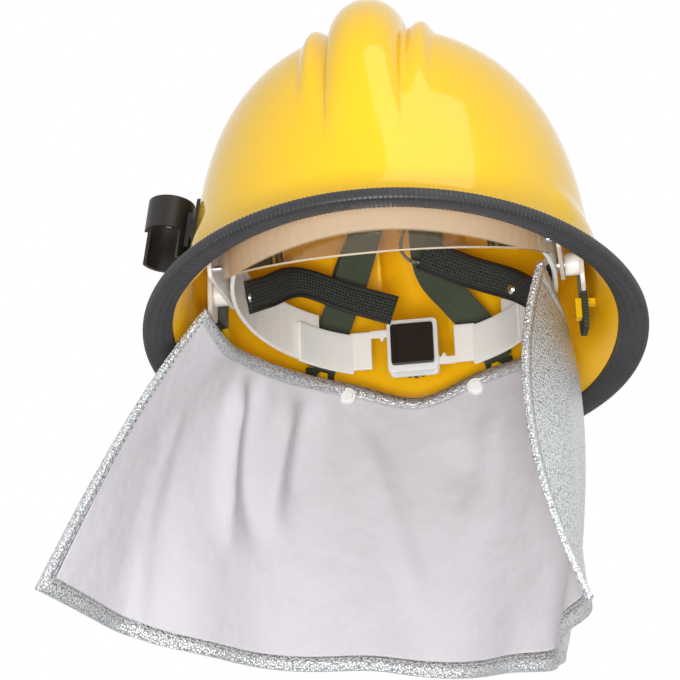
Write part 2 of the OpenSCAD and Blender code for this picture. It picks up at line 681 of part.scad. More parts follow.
// Bracket on the shell's side wall with a boss that holds the pivot pin
bracket_t = 2.2;
bracket_x = dome_half_w - shell_t - 2.6 - bracket_t;
boss_x = arm_x + arm_t + 0.4;
module pivot_bracket() {
    color(clear_white) difference() {
        union() {
            side_plate(bracket_x, bracket_t) hull() for (y = [-6, 1]) for (z = [-10, 9])
                translate([pivot_y + y, pivot_z + z]) circle(r = 5, $fn = 24);
            translate([boss_x, pivot_y, pivot_z]) rotate([0, 90, 0])
                cylinder(r = 6, h = bracket_x - boss_x + 0.5, $fn = smooth_fn);
        }
        translate([boss_x - 1, pivot_y, pivot_z]) rotate([0, 90, 0])
            cylinder(r = pivot_r, h = bracket_x + bracket_t - boss_x + 2, $fn = smooth_fn);
    }
}
module pivot_bracket_right() {
    pivot_bracket();
}
module pivot_bracket_left() {
    mirror([1, 0, 0]) pivot_bracket();
}
module pivot_pins() {
    color(silver) for (m = [0, 1]) mirror([m, 0, 0])
        translate([arm_x - 1.5, pivot_y, pivot_z]) rotate([0, 90, 0]) {
            cylinder(r = pivot_r + 2, h = 1.2, $fn = smooth_fn);
            cylinder(r = pivot_r, h = bracket_x + bracket_t - arm_x + 1.5, $fn = smooth_fn);
        }
}

// Rivets: one in each comfort band's front end, one on the right band's bend and two through
// the front strap ends
module band_rivets() {
    color(silver) {
        for (p = [comfort_route_right[0], comfort_route_left[0]])
            translate(p - [sign(p[0]) * (comfort_t / 2 + 1), 0, 0]) mirror([p[0] < 0 ? 1 : 0, 0, 0])
                rotate([0, 90, 0]) cylinder(r = 2.8, h = 1, $fn = 32);
        translate(comfort_route_right[2] + [-0.6, -0.6, -3]) rotate([0, -90, 42])
            cylinder(r1 = 3, r2 = 2, h = 1.4, $fn = 32);
        for (m = [0, 1]) mirror([m, 0, 0])
            translate(front_anchor + [0, 0, -5]) rotate([90, 0, 90 + wall_turn(front_anchor)])
                translate([0, 0, web_t / 2 - 0.3]) cylinder(r = 2.8, h = 1.2, $fn = 32);
    }
}

// Torch clip: plate and neck on the shell's left side, and a clip that swivels on them
clip_lean = 8;
clip_wall = dome_half_w * pow(1 - pow(clip_z / dome_h, dome_power), 1 / dome_power);
plate_t = 3;
neck_len = 3;
neck_r = 7.5;
spine_t = 2.8;
clip_pin_r = 3;
pin_head_r = 4.6;
clip_centre = plate_t + neck_len + gap + spine_t + clip_r + 0.5;
module at_clip() {
    translate([-clip_wall, 0, clip_z]) rotate([0, clip_lean, 0]) mirror([1, 0, 0]) children();
}
module clip_base() {
    color(black) at_clip() difference() {
        union() {
            translate([0.5, 0, 0]) rotate([90, 0, 90]) linear_extrude(plate_t)
                hull() for (y = [-1, 1]) for (z = [-1, 1])
                    translate([y * 10, z * 12]) circle(r = 4, $fn = 24);
            translate([plate_t, 0, 0]) rotate([0, 90, 0])
                cylinder(r = neck_r, h = neck_len + 0.5, $fn = smooth_fn);
        }
        translate([-1, 0, 0]) rotate([0, 90, 0])
            cylinder(r = clip_pin_r, h = plate_t + neck_len + 3, $fn = smooth_fn);
    }
}
module clip_pin() {
    color(silver) at_clip() translate([1, 0, 0]) rotate([0, 90, 0]) {
        cylinder(r = clip_pin_r, h = clip_centre - clip_r - 1.6, $fn = smooth_fn);
        translate([0, 0, clip_centre - clip_r - 1.9 - 0.3])
            cylinder(r = pin_head_r, h = 1.1, $fn = smooth_fn);
    }
}
finger_turn = 165;
spine_turn = 45;
block_w = 12;
front_finger_low = -1;
rear_finger_top = 9;
module clip_arc(a0, a1, z0, z1) {
    steps = round((a1 - a0) / 5);
    translate([0, 0, z0]) linear_extrude(z1 - z0) polygon(concat(
        arc_points(clip_r + clip_t, clip_r + clip_t, a0, a1, steps),
        arc_points(clip_r - 1, clip_r - 1, a1, a0, steps)));
}
module torch_clip() {
    color(black) at_clip() difference() {
        union() {
            translate([clip_centre, 0, 0]) {
                clip_arc(180 - spine_turn, 180 + finger_turn, front_finger_low, clip_len / 2);
                clip_arc(180 - finger_turn, 180 + spine_turn, -clip_len / 2, rear_finger_top);
            }
            translate([plate_t + neck_len + gap + 0.5, -block_w / 2, -10])
                cube([spine_t, block_w, 20]);
        }
        translate([clip_centre, 0, -clip_len / 2 - 1])
            cylinder(r = clip_r, h = clip_len + 2, $fn = smooth_fn);
        rotate([0, 90, 0])
            cylinder(r = clip_pin_r + run, h = clip_centre - clip_r - 1, $fn = smooth_fn);
        translate([clip_centre - clip_r - 1.5, 0, 0]) rotate([0, 90, 0])
            cylinder(r = pin_head_r + gap, h = 4, $fn = smooth_fn);
    }
}

// Neck cape: a lined sheet held along its top edge, hung from three level routes
cape_top = fitted_route([[-94, -26, 10], [-89, 6, 7], [-84, 42, 15], [-65, 74, 17],
    [-34, 104, 18], [0, 113, 11], [36, 104, 20], [66, 78, 17], [83, 42, 14], [84, 5, 8],
    [77, -41, 13]]);
cape_mid = fitted_route([[-138, -10, -42], [-132, 26, -49], [-116, 58, -56], [-88, 86, -60],
    [-42, 106, -61], [0, 108, -64], [44, 98, -63], [77, 70, -62], [90, 36, -58], [84, 0, -60],
    [65, -34, -66]]);
cape_hem = fitted_route([[-186, 0, -124], [-160, 47, -130], [-131, 76, -136], [-91, 98, -141],
    [-41, 108, -145], [-4, 110, -149], [36, 100, -155], [60, 76, -160], [73, 42, -160],
    [82, 10, -155], [88.5, -20, -156]]);
cape_folds = 5;
function route_at(p, u) = let (
    s = u * (len(p) - 1), k = min(floor(s), len(p) - 2)) curve_at(p, k, s - k);
function cape_plain(u, v) = route_at(cape_top, u) * (1 - v) * (1 - 2 * v)
    + route_at(cape_mid, u) * 4 * v * (1 - v) + route_at(cape_hem, u) * v * (2 * v - 1);
function cape_normal(u, v) = let (e = 0.01,
    du = cape_plain(min(u + e, 1), v) - cape_plain(max(u - e, 0), v),
    dv = cape_plain(u, min(v + e, 1)) - cape_plain(u, max(v - e, 0)))
    unit(cross(dv, du));
function cape_fold(u, v) = fold_depth * pow(v, 1.2) * sin(360 * cape_folds * u + 40 * v)
    * min(1, 8 * u, 8 * (1 - u));
function cape_point(u, v, off) = let (n = cape_normal(u, v))
    cape_plain(u, v) + n * (cape_fold(u, v) + off);
cape_across = 38;
cape_down = 14;
inset_u = binding_w / 430;
inset_v = binding_w / 178;
function inner_u(i) = inset_u + (1 - 2 * inset_u) * i / cape_across;
function inner_v(j) = inset_v + (1 - 2 * inset_v) * j / cape_down;
module cape() {
    row = cape_down + 1;
    count = (cape_across + 1) * row;
    function at(i, j) = i * row + j;
    function sheet_points(off) = [for (i = [0:cape_across]) for (j = [0:cape_down])
        cape_point(inner_u(i), inner_v(j), off)];
    face_side = [for (i = [0:cape_across - 1]) for (j = [0:cape_down - 1])
        each quad(at(i, j), at(i + 1, j), at(i + 1, j + 1), at(i, j + 1))];
    rim = concat([for (i = [0:cape_across - 1]) at(i, 0)],
        [for (j = [0:cape_down - 1]) at(cape_across, j)],
        [for (i = [cape_across:-1:1]) at(i, cape_down)],
        [for (j = [cape_down:-1:1]) at(0, j)]);
    n = len(rim);
    color("#dedce2") polyhedron(
        points = concat(sheet_points(cape_t / 2), sheet_points(-cape_t / 2)),
        faces = concat([for (f = face_side) [f[0], f[2], f[1]]],
            [for (f = face_side) [f[0] + count, f[1] + count, f[2] + count]],
            [for (k = [0:n - 1])
                each quad(rim[k], rim[(k + 1) % n], rim[(k + 1) % n] + count, rim[k] + count)]));
}
binding_t = cape_t + 0.6;
module cape_binding() {
    function ring_of(ui, vi, uo, vo) = [cape_point(ui, vi, binding_t / 2),
        cape_point(uo, vo, binding_t / 2), cape_point(uo, vo, -binding_t / 2),
        cape_point(ui, vi, -binding_t / 2)];
    rings_of = concat(
        [for (i = [0:cape_across - 1]) ring_of(inner_u(i), inset_v, i / cape_across, 0)],
        [for (j = [0:cape_down - 1]) ring_of(1 - inset_u, inner_v(j), 1, j / cape_down)],
        [for (i = [cape_across:-1:1])
            ring_of(inner_u(i), 1 - inset_v, i / cape_across, 1)],
        [for (j = [cape_down:-1:1]) ring_of(inset_u, inner_v(j), 0, j / cape_down)]);
    color(silver) polyhedron(points = [for (r = rings_of) each r],
        faces = loop_faces(len(rings_of), 4));
}
// Snap fasteners near the top edge: a cap on the head's side, a socket on the shell's side
snap_us = [0.39, 0.586];
snap_v = 0.05;
snap_r = 4.8;
flare_room = 2;
module cape_snaps() {
    color("white") for (u = snap_us) translate(cape_point(u, snap_v, 0)) rotate([90, 0, 0])
        translate([0, 0, cape_t / 2 + 0.6]) {
            cylinder(r = snap_r, h = 1.2, $fn = smooth_fn);
            cylinder(r1 = snap_r - 0.6, r2 = snap_r - 1.8, h = 2, $fn = smooth_fn);
        }
}
module snap_sockets() {
    color("white") for (u = snap_us) {
        p = cape_point(u, snap_v, 0);
        wall = wall_y(abs(p[0]), max(p[2], flare_h), shell_t) + flare_room;
        translate([p[0], p[1] + cape_t / 2 + 1.2, p[2]]) rotate([-90, 0, 0])
            cylinder(r = snap_r - 0.8, h = wall - p[1] - cape_t / 2 - 1.2, $fn = smooth_fn);
    }
}

shell();
edge_trim();
headband();
brow_pad();
comfort_band_left();
comfort_band_right();
band_rivets();
crown_lace();
side_strap();
diagonal_strap_a();
diagonal_strap_b();
strap_ends();
shell_hooks();
rear_strap();
nape_strap_left();
nape_strap_right();
ratchet_housing();
ratchet_cover();
ratchet_pad();
ratchet_knob();
ratchet_pinion();
knob_screw();
visor();
visor_arm_left();
visor_arm_right();
visor_rivets();
pivot_bracket_left();
pivot_bracket_right();
pivot_pins();
clip_base();
clip_pin();
torch_clip();
cape();
cape_binding();
cape_snaps();
snap_sockets();
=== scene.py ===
import math

import bmesh
import bpy
from mathutils import Matrix, Vector


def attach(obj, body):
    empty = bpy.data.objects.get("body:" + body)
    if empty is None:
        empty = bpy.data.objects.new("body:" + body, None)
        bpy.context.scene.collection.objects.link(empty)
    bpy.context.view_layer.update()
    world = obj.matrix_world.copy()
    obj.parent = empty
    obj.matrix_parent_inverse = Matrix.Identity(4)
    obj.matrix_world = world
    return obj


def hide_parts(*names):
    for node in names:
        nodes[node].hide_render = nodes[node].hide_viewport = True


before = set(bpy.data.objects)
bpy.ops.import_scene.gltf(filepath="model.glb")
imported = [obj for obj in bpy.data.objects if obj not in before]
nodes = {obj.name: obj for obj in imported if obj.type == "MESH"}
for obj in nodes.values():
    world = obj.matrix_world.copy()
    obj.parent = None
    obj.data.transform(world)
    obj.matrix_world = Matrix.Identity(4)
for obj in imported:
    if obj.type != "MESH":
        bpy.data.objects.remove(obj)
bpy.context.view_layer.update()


# Shell. One moulded wall of glossy yellow thermoplastic with a broad round crest, a low
# ridge on each side of it and a brim that flares out all round. The wall is made from the
# same rule as the CAD shell, in millimetres, at the finer grid that a glossy surface needs.
def srgb(code):
    """Linear colour of an sRGB hex value."""
    parts = [int(code[k:k + 2], 16) / 255 for k in (1, 3, 5)]
    return [c / 12.92 if c <= 0.04045 else ((c + 0.055) / 1.055) ** 2.4 for c in parts] + [1]


def feed(tree, node, values):
    """Links the sockets among the values to the node's inputs, and sets the others there."""
    for name, value in values.items():
        if isinstance(value, bpy.types.NodeSocket):
            tree.links.new(value, node.inputs[name])
        else:
            node.inputs[name].default_value = value


def add(tree, kind, values=None, **settings):
    """One node with its settings, and with its inputs fed."""
    made = tree.nodes.new(kind)
    for name, value in settings.items():
        setattr(made, name, value)
    feed(tree, made, values or {})
    return made


def calc(tree, operation, *inputs):
    """The result of one Math node."""
    made = add(tree, "ShaderNodeMath", dict(enumerate(inputs)), operation=operation)
    return made.outputs["Value"]


def tint(tree, factor, low, high):
    """The colour from low to high, each an sRGB hex value or a colour socket."""
    low, high = (srgb(c) if isinstance(c, str) else c for c in (low, high))
    made = add(tree, "ShaderNodeMix", {"Factor": factor, "A": low, "B": high}, data_type="RGBA")
    return made.outputs["Result"]


def relief(tree, height, strength, depth, **under):
    """The normal of a surface with this height pattern, its depth in metres."""
    values = {"Height": height, "Strength": strength, "Distance": depth, **under}
    return add(tree, "ShaderNodeBump", values).outputs["Normal"]


def new_material(name):
    """An empty node material with its tree, surface shader and object coordinates."""
    made = bpy.data.materials.new(name)
    made.use_nodes = True
    tree = made.node_tree
    tree.nodes.clear()
    shader = add(tree, "ShaderNodeBsdfPrincipled")
    add(tree, "ShaderNodeOutputMaterial", {"Surface": shader.outputs["BSDF"]})
    return made, tree, shader, add(tree, "ShaderNodeTexCoord").outputs["Object"]


def patterned(name, kind, values, colours, bump, look, **settings):
    """A material whose one pattern, in object space, drives its colour and its relief.

    colours are the tint's two ends, bump is the relief's strength and depth or None, and
    look holds the shader's own values."""
    made, tree, shader, place = new_material(name)
    pattern = add(tree, kind, {"Vector": place, **values}, **settings)
    height = pattern.outputs["Distance" if kind == "ShaderNodeTexVoronoi" else "Fac"]
    feed(tree, shader, {"Base Color": tint(tree, height, *colours), **look})
    if bump:
        feed(tree, shader, {"Normal": relief(tree, height, *bump)})
    return made


def paint(obj, *materials):
    """Gives obj these materials, in slot order."""
    obj.data.materials.clear()
    for one in materials:
        obj.data.materials.append(one)


def mesh_piece(name, points_mm, faces, smooth=True):
    """A piece from points in millimetres, with its normals turned outwards."""
    data = bpy.data.meshes.new(name)
    data.from_pydata([[c / 1000 for c in p] for p in points_mm], [], faces)
    made = bpy.data.objects.new(name, data)
    bpy.context.scene.collection.objects.link(made)
    work = bmesh.new()
    work.from_mesh(data)
    bmesh.ops.recalc_face_normals(work, faces=work.faces)
    work.to_mesh(data)
    work.free()
    data.polygons.foreach_set("use_smooth", [smooth] * len(data.polygons))
    return made


# Half sizes of the dome and of the brim's edge, and the power of the dome's profile.
DOME_W, DOME_FRONT, DOME_REAR, DOME_H, DOME_M = 103, 127, 131, 149, 2.8
BRIM_W, BRIM_FRONT, BRIM_REAR, FLARE_H, BRIM_DROOP = 126.5, 152, 164, 24, 4
SHELL_T = 2.6
# Crest and ridges: height, half width, middle, the powers of their sections, and the
# heights between which they rise out of the dome.
CREST_H, CREST_W, CREST_POWERS, CREST_RISE = 14.5, 18.5, (2.2, 0.75), (30, 112)
RIDGE_H, RIDGE_W, RIDGE_MID, RIDGE_POWER, RIDGE_RISE = 4.5, 6.5, 26.5, 1.3, (58, 118)
# Side fairing: how far it stands out, and where it fades upwards, lengthwise and inwards.
FAIRING, FAIRING_UP, FAIRING_LONG, FAIRING_IN = 3.5, (32, 46), (56, 78), (0.5, 0.9)
BASE_R = (1 - (FLARE_H / DOME_H) ** DOME_M) ** (1 / DOME_M)
# The grid over the dome: cells from its middle to its side, and how much closer together
# the middle columns are, over the crest. Then the rings of cells in the flare.
GRID_HALF, CREST_PACK, FLARE_RINGS = 98, 0.62, 8


def ramp(lo, hi, v):
    """0 below lo, 1 above hi, and a smooth step between them."""
    t = max(0.0, min(1.0, (v - lo) / (hi - lo)))
    return t * t * (3 - 2 * t)


def fairing(y, z):
    return FAIRING * (1 - ramp(*FAIRING_UP, z)) * (1 - ramp(*FAIRING_LONG, abs(y)))


def dome_point(p, q, w):
    """A point of the dome from its place in the unit circle, w inside the outer face."""
    r = min(math.hypot(p, q), 0.9999)
    length = DOME_FRONT if q < 0 else DOME_REAR
    z = DOME_H * (1 - r ** DOME_M) ** (1 / DOME_M)
    x, y = DOME_W * p, length * q
    k = 0 if r < 0.001 else r ** (DOME_M - 2)
    n = Vector((k * p / DOME_W, k * q / length, (z / DOME_H) ** (DOME_M - 1) / DOME_H))
    n.normalize()
    crest = 0
    if abs(x) < CREST_W:
        wide, tall = CREST_POWERS
        crest = CREST_H * (1 - (abs(x) / CREST_W) ** wide) ** tall
    d = abs(abs(x) - RIDGE_MID) / RIDGE_W
    ridge = 0 if d >= 1 else RIDGE_H * math.cos(math.pi / 2 * d) ** RIDGE_POWER
    rise = crest * ramp(*CREST_RISE, z) + ridge * ramp(*RIDGE_RISE, z)
    out = math.copysign(fairing(y, z) * ramp(*FAIRING_IN, abs(p)), p)
    return Vector((x + out, y, z)) + n * (rise - w)


def flare_point(c, s, turn, w):
    """A point of the flare at plan angle c, s, from turn 90 on the dome to 0 at the edge."""
    length, reach = (DOME_FRONT, BRIM_FRONT) if s < 0 else (DOME_REAR, BRIM_REAR)
    swell = math.copysign(fairing(length * s, FLARE_H) * ramp(*FAIRING_IN, abs(c)), c)
    base = Vector((DOME_W * BASE_R * c + swell, length * BASE_R * s))
    edge = Vector((BRIM_W * c, reach * s))
    out = (edge - base * 0.6).normalized()
    st, ct = math.sin(math.radians(turn)), math.cos(math.radians(turn))
    plan = edge + (base - edge) * st - out * w * st
    return Vector((plan.x, plan.y, FLARE_H * (1 - ct) - BRIM_DROOP * c * c * ct - w * ct))


def rim_walk(cols, rows):
    """The places along the edge of a grid, once round."""
    return ([(i, 0) for i in range(cols - 1)] + [(cols - 1, j) for j in range(rows - 1)]
            + [(i, rows - 1) for i in range(cols - 1, 0, -1)]
            + [(0, j) for j in range(rows - 1, 0, -1)])


def shell_mesh():
    """Closed shell wall: a square grid bent to a disc over the dome, then rings of flare."""
    side = 2 * GRID_HALF + 1

    def at(i, j):
        return i * side + j

    def disc(i, j):
        u, v = (i - GRID_HALF) / GRID_HALF, (j - GRID_HALF) / GRID_HALF
        u = u * (CREST_PACK + (1 - CREST_PACK) * u * u)
        p, q = u * math.sqrt(1 - v * v / 2), v * math.sqrt(1 - u * u / 2)
        rho = max(math.hypot(p, q), 1e-9)
        size = math.sin(min(rho, 1) * math.asin(BASE_R))
        return p / rho * size, q / rho * size

    rim = rim_walk(side, side)
    count = len(rim)
    grid = [disc(i, j) for i in range(side) for j in range(side)]
    points, faces, inner_side, edges = [], [], [], []
    for face, w in enumerate((0, SHELL_T)):
        start = len(points)
        points += [dome_point(p, q, w) for p, q in grid]
        for k in range(1, FLARE_RINGS + 1):
            turn = 90 * (1 - k / FLARE_RINGS)
            for i, j in rim:
                p, q = grid[at(i, j)]
                r = math.hypot(p, q)
                points.append(flare_point(p / r, q / r, turn, w))

        def ring(k, b):
            b %= count
            return start + (at(*rim[b]) if k == 0 else side * side + (k - 1) * count + b)

        sheet = [(start + at(i, j), start + at(i + 1, j), start + at(i + 1, j + 1),
                  start + at(i, j + 1)) for i in range(side - 1) for j in range(side - 1)]
        sheet += [(ring(k, b), ring(k + 1, b), ring(k + 1, b + 1), ring(k, b + 1))
                  for k in range(FLARE_RINGS) for b in range(count)]
        faces += [f[::-1] for f in sheet] if face else sheet
        inner_side += [face] * len(sheet)
        edges.append([ring(FLARE_RINGS, b) for b in range(count)])
    outer, inner = edges
    faces += [(outer[b], outer[(b + 1) % count], inner[(b + 1) % count], inner[b])
              for b in range(count)]
    return points, faces, inner_side + [0] * count


shell_points, shell_faces, inner_side = shell_mesh()
shell = mesh_piece("shell_wall", shell_points, shell_faces)


def glossy_nylon(name, low, high, rough, gloss):
    """Moulded nylon: solid colour that mottles a little from low to high, under a gloss."""
    made, tree, shader, place = new_material(name)
    mottle = add(tree, "ShaderNodeTexNoise", {"Vector": place, "Scale": 9.0, "Detail": 2.0})
    ripple = add(tree, "ShaderNodeTexNoise", {"Vector": place, "Scale": 45.0, "Detail": 1.0})
    feed(tree, shader, {"Base Color": tint(tree, mottle.outputs["Fac"], low, high),
                        "Normal": relief(tree, ripple.outputs["Fac"], 0.03, 0.001),
                        "Roughness": rough, "Specular IOR Level": gloss,
                        "Subsurface Weight": 0.3, "Subsurface Scale": 1.0,
                        "Subsurface Radius": (0.005, 0.0028, 0.0004)})
    return made


# Outside: a polished mould gives a hard clear gloss with a very faint ripple. Inside: the
# same nylon from the mould's core, satin, and tinted warmer and more orange: painted warm shade
# and bounce light.
shell_paint = glossy_nylon("moulded_yellow_nylon", "#F0BE04", "#F5C608", 0.1, 0.5)
inner_paint_warm_bounce = glossy_nylon("moulded_yellow_nylon_inner_painted_bounce", "#FABA0C", "#FFC414", 0.36, 0.35)
paint(shell, shell_paint, inner_paint_warm_bounce)
shell.data.polygons.foreach_set("material_index", inner_side)
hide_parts("shell")
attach(shell, "shell")
# The hooks take the inner face's warmer tint, which is painted warm shade and bounce light.
paint(nodes["shell_hooks"], inner_paint_warm_bounce)


# Edge trim. A dark grey rubber channel pressed over the brim's edge, with fine cross ribs
# round its legs and nose. The channel is swept round the brim, and the ribs are cords that
# follow its section.

# The channel's depth on the brim, its legs' thickness, its play on the brim, its nose beyond
# the edge, and the sections round the brim. Each leg's inner end thins by END_LESS over
# END_LONG.
TRIM_DEPTH, TRIM_LEG, TRIM_CLEAR, TRIM_OUT, TRIM_SECTIONS = 12, 1.6, 0.15, 1.5, 560
END_LONG, END_LESS = 0.3, 0.5


def brim_turn(c, s, d):
    """The turn at which the flare is d in from its edge."""
    edge, base = flare_point(c, s, 0, 0), flare_point(c, s, 90, 0)
    return math.degrees(math.asin(min(1, d / math.hypot(edge.x - base.x, edge.y - base.y))))


def leg_point(c, s, d, side, lift):
    """A point on the flare's upper (side 1) or lower (side -1) face, d in from the edge."""
    p = flare_point(c, s, brim_turn(c, s, d), 0 if side > 0 else SHELL_T)
    return p + Vector((0, 0, side * lift))


def nose_points(c, s, angles, sink=0.0):
    """Points of the round nose outside the brim's edge, from angle 90 on top to -90 below."""
    o = Vector((c / BRIM_W, s / (BRIM_FRONT if s < 0 else BRIM_REAR), 0)).normalized()
    e, e2 = flare_point(c, s, 0, 0), flare_point(c, s, 0, SHELL_T)
    half = (e.z - e2.z) / 2 + TRIM_CLEAR + TRIM_LEG - sink
    return [(e + e2) / 2 + o * (TRIM_OUT - sink) * math.cos(math.radians(a))
            + Vector((0, 0, half * math.sin(math.radians(a)))) for a in angles]


def trim_section(c, s):
    lift = TRIM_CLEAR + TRIM_LEG
    depths = [TRIM_DEPTH, TRIM_DEPTH - END_LONG, 9, 6, 3, 1]
    upper, lower = ([leg_point(c, s, d, side, lift - (END_LESS if d == TRIM_DEPTH else 0))
                     for d in depths] for side in (1, -1))
    nose = nose_points(c, s, (72, 48, 24, 0, -24, -48, -72))
    inside = [leg_point(c, s, d, -1, TRIM_CLEAR) for d in (TRIM_DEPTH, 6, 0.2)]
    inside += [leg_point(c, s, d, 1, TRIM_CLEAR) for d in (0.2, 6, TRIM_DEPTH)]
    return upper + nose + lower[::-1] + inside


def closed_sweep(sections):
    """Points and faces of a closed section swept once round to its start."""
    n, m = len(sections[0]), len(sections)
    faces = [(i * n + j, i * n + (j + 1) % n, (i + 1) % m * n + (j + 1) % n, (i + 1) % m * n + j)
             for i in range(m) for j in range(n)]
    return [p for one in sections for p in one], faces


def round_trip(count):
    """Cosine and sine at count even steps round the circle."""
    return [(math.cos(2 * math.pi * k / count), math.sin(2 * math.pi * k / count))
            for k in range(count)]


trim = mesh_piece("edge_trim_channel",
                  *closed_sweep([trim_section(c, s) for c, s in round_trip(TRIM_SECTIONS)]))


def seat_lines(name, points_mm, edges):
    """A mesh of bare lines, in millimetres, for cords to lie along."""
    data = bpy.data.meshes.new(name)
    data.from_pydata([list(p / 1000) for p in points_mm], edges, [])
    made = bpy.data.objects.new(name, data)
    bpy.context.scene.collection.objects.link(made)
    return made


# The ribs' seats: one line across the trim for each rib, a pitch apart round the brim and
# sunk into the rubber, so that 0.3 mm of each cord stands out.
RIB_PITCH, RIB_R, RIB_SINK, RIB_MM = 2.2, 0.6, 0.3, (11.4, 8, 4.5, 1)
brim_steps = round_trip(4000)
brim_line = [leg_point(c, s, 6, -1, 0) for c, s in brim_steps]
seats, seat_edges, walked = [], [], 0.0
for k, (c, s) in enumerate(brim_steps):
    walked += (brim_line[(k + 1) % len(brim_steps)] - brim_line[k]).length
    if walked >= RIB_PITCH:
        walked -= RIB_PITCH
        lift, first = TRIM_CLEAR + TRIM_LEG - RIB_SINK, len(seats)
        seats += [leg_point(c, s, d, -1, lift) for d in RIB_MM]
        seats += nose_points(c, s, (-66, -33, 0, 33, 66), RIB_SINK)
        seats += [leg_point(c, s, d, 1, lift) for d in RIB_MM[::-1]]
        seat_edges += [(n, n + 1) for n in range(first, len(seats) - 1)]
rib_seats = seat_lines("trim_ribs_seats", seats, seat_edges)

# Extruded EPDM rubber: dark grey, with a soft sheen at a low angle and dust in its grain.
rubber = patterned("extruded_epdm_rubber", "ShaderNodeTexNoise", {"Scale": 120.0, "Detail": 4.0},
                   ("#1B1B1D", "#2E2E31"), (0.2, 0.0004), {"Roughness": 0.42})
paint(trim, rubber)


def plain(source, name):
    """The evaluated object as a plain mesh piece; the source is removed."""
    bpy.context.view_layer.update()
    done = source.evaluated_get(bpy.context.evaluated_depsgraph_get())
    data = bpy.data.meshes.new_from_object(done)
    data.name = name
    made = bpy.data.objects.new(name, data)
    bpy.context.scene.collection.objects.link(made)
    bpy.data.objects.remove(source)
    data.polygons.foreach_set("use_smooth", [True] * len(data.polygons))
    return made


def cords_along(name, seats_obj, radius_mm, material, sides=6):
    """Geometry Nodes: a thin cord along each line of a mesh, as one plain mesh."""
    tree = bpy.data.node_groups.new(name, "GeometryNodeTree")
    ports = tree.interface
    ports.new_socket("Geometry", in_out="INPUT", socket_type="NodeSocketGeometry")
    size = ports.new_socket("Cord radius", in_out="INPUT", socket_type="NodeSocketFloat")
    count = ports.new_socket("Cord sides", in_out="INPUT", socket_type="NodeSocketInt")
    ports.new_socket("Geometry", in_out="OUTPUT", socket_type="NodeSocketGeometry")
    start = add(tree, "NodeGroupInput")
    line = add(tree, "GeometryNodeMeshToCurve", {"Mesh": start.outputs["Geometry"]})
    ring = add(tree, "GeometryNodeCurvePrimitiveCircle",
               {"Resolution": start.outputs["Cord sides"],
                "Radius": start.outputs["Cord radius"]})
    tube = add(tree, "GeometryNodeCurveToMesh",
               {"Curve": line.outputs["Curve"], "Profile Curve": ring.outputs["Curve"],
                "Fill Caps": True})
    real = add(tree, "GeometryNodeRealizeInstances", {"Geometry": tube.outputs["Mesh"]})
    coat = add(tree, "GeometryNodeSetMaterial",
               {"Geometry": real.outputs["Geometry"], "Material": material})
    add(tree, "NodeGroupOutput", {"Geometry": coat.outputs["Geometry"]})
    modifier = seats_obj.modifiers.new(name, "NODES")
    modifier.node_group = tree
    modifier[size.identifier] = radius_mm / 1000
    modifier[count.identifier] = sides
    return plain(seats_obj, name)


trim_ribs = cords_along("trim_ribs", rib_seats, RIB_R, rubber)
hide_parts("edge_trim")
for one in (trim, trim_ribs):
    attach(one, "shell")


# Crown straps. Three olive webbing straps, 19 mm wide, cross over the head: one from side to
# side, and two from the headband's front to the shell's rear wall. At their ends they lie
# flat and are folded back and sewn.

# Webbing width and thickness, the crown's height, the step between the crossing layers, and
# the power of the arches. Then the steps along a strap and the rounding of its edges.
WEB_W, WEB_T, CROWN_Z, CROWN_LAYER, ARCH_POWER = 19, 1.2, 118, 2.1, 0.75
STRAP_STEPS, STRAP_ROUND = 90, 0.35
# The headband's half width and half length outside, and its wall. Then where the straps end:
# on the headband's front, on the rear wall and on the side wall.
BAND_W, BAND_L, BAND_T = 84, 104, 2
FRONT_X, FRONT_Z, REAR_Z, REAR_IN = 45, 43.6, 29, 3.2
FRONT_ANCHOR = Vector((FRONT_X, -(BAND_L + WEB_T / 2)
                       * math.sqrt(1 - (FRONT_X / (BAND_W + WEB_T / 2)) ** 2), FRONT_Z))
SIDE_ANCHOR = Vector((DOME_W - 7.4, 27, 25))
HEAD_MID = Vector((0, 5, 20))


def wall_y(x, z, w):
    """The y of the dome's rear wall, w inside its outer face."""
    f = (1 - (z / DOME_H) ** DOME_M) ** (1 / DOME_M)
    return (DOME_REAR * f - w) * math.sqrt(1 - (x / (DOME_W * f - w)) ** 2)


def rear_anchor(x):
    return Vector((x, wall_y(x, REAR_Z, SHELL_T + REAR_IN), REAR_Z))


def flipped(p):
    return Vector((-p[0], p[1], p[2]))


def flat_side(p, mid):
    """The level direction along the shell's wall at p, on the same side as mid."""
    t = math.atan2(p[1] / DOME_REAR ** 2, p[0] / DOME_W ** 2)
    side = Vector((-math.sin(t), math.cos(t), 0))
    return side if side.dot(mid) >= 0 else -side


def arch(a, b, top, n):
    """An arch of n steps from a over the height top above the origin to b."""
    made = []
    for k in range(n + 1):
        c = math.cos(math.pi * k / n)
        e, f = (a if c > 0 else b), abs(c) ** ARCH_POWER
        rise = (top - e[2]) * max(0, math.sin(math.pi * k / n)) ** ARCH_POWER
        made.append(Vector((e[0] * f, e[1] * f, e[2] + rise)))
    return made


def strap_sides(a, b, mid, n):
    """The strap's direction of width: along mid at the top, flat on the wall at a and b."""
    made = []
    for k in range(n + 1):
        w = abs(2 * k / n - 1) ** 3
        made.append((mid * (1 - w) + flat_side(a if 2 * k < n else b, mid) * w).normalized())
    return made


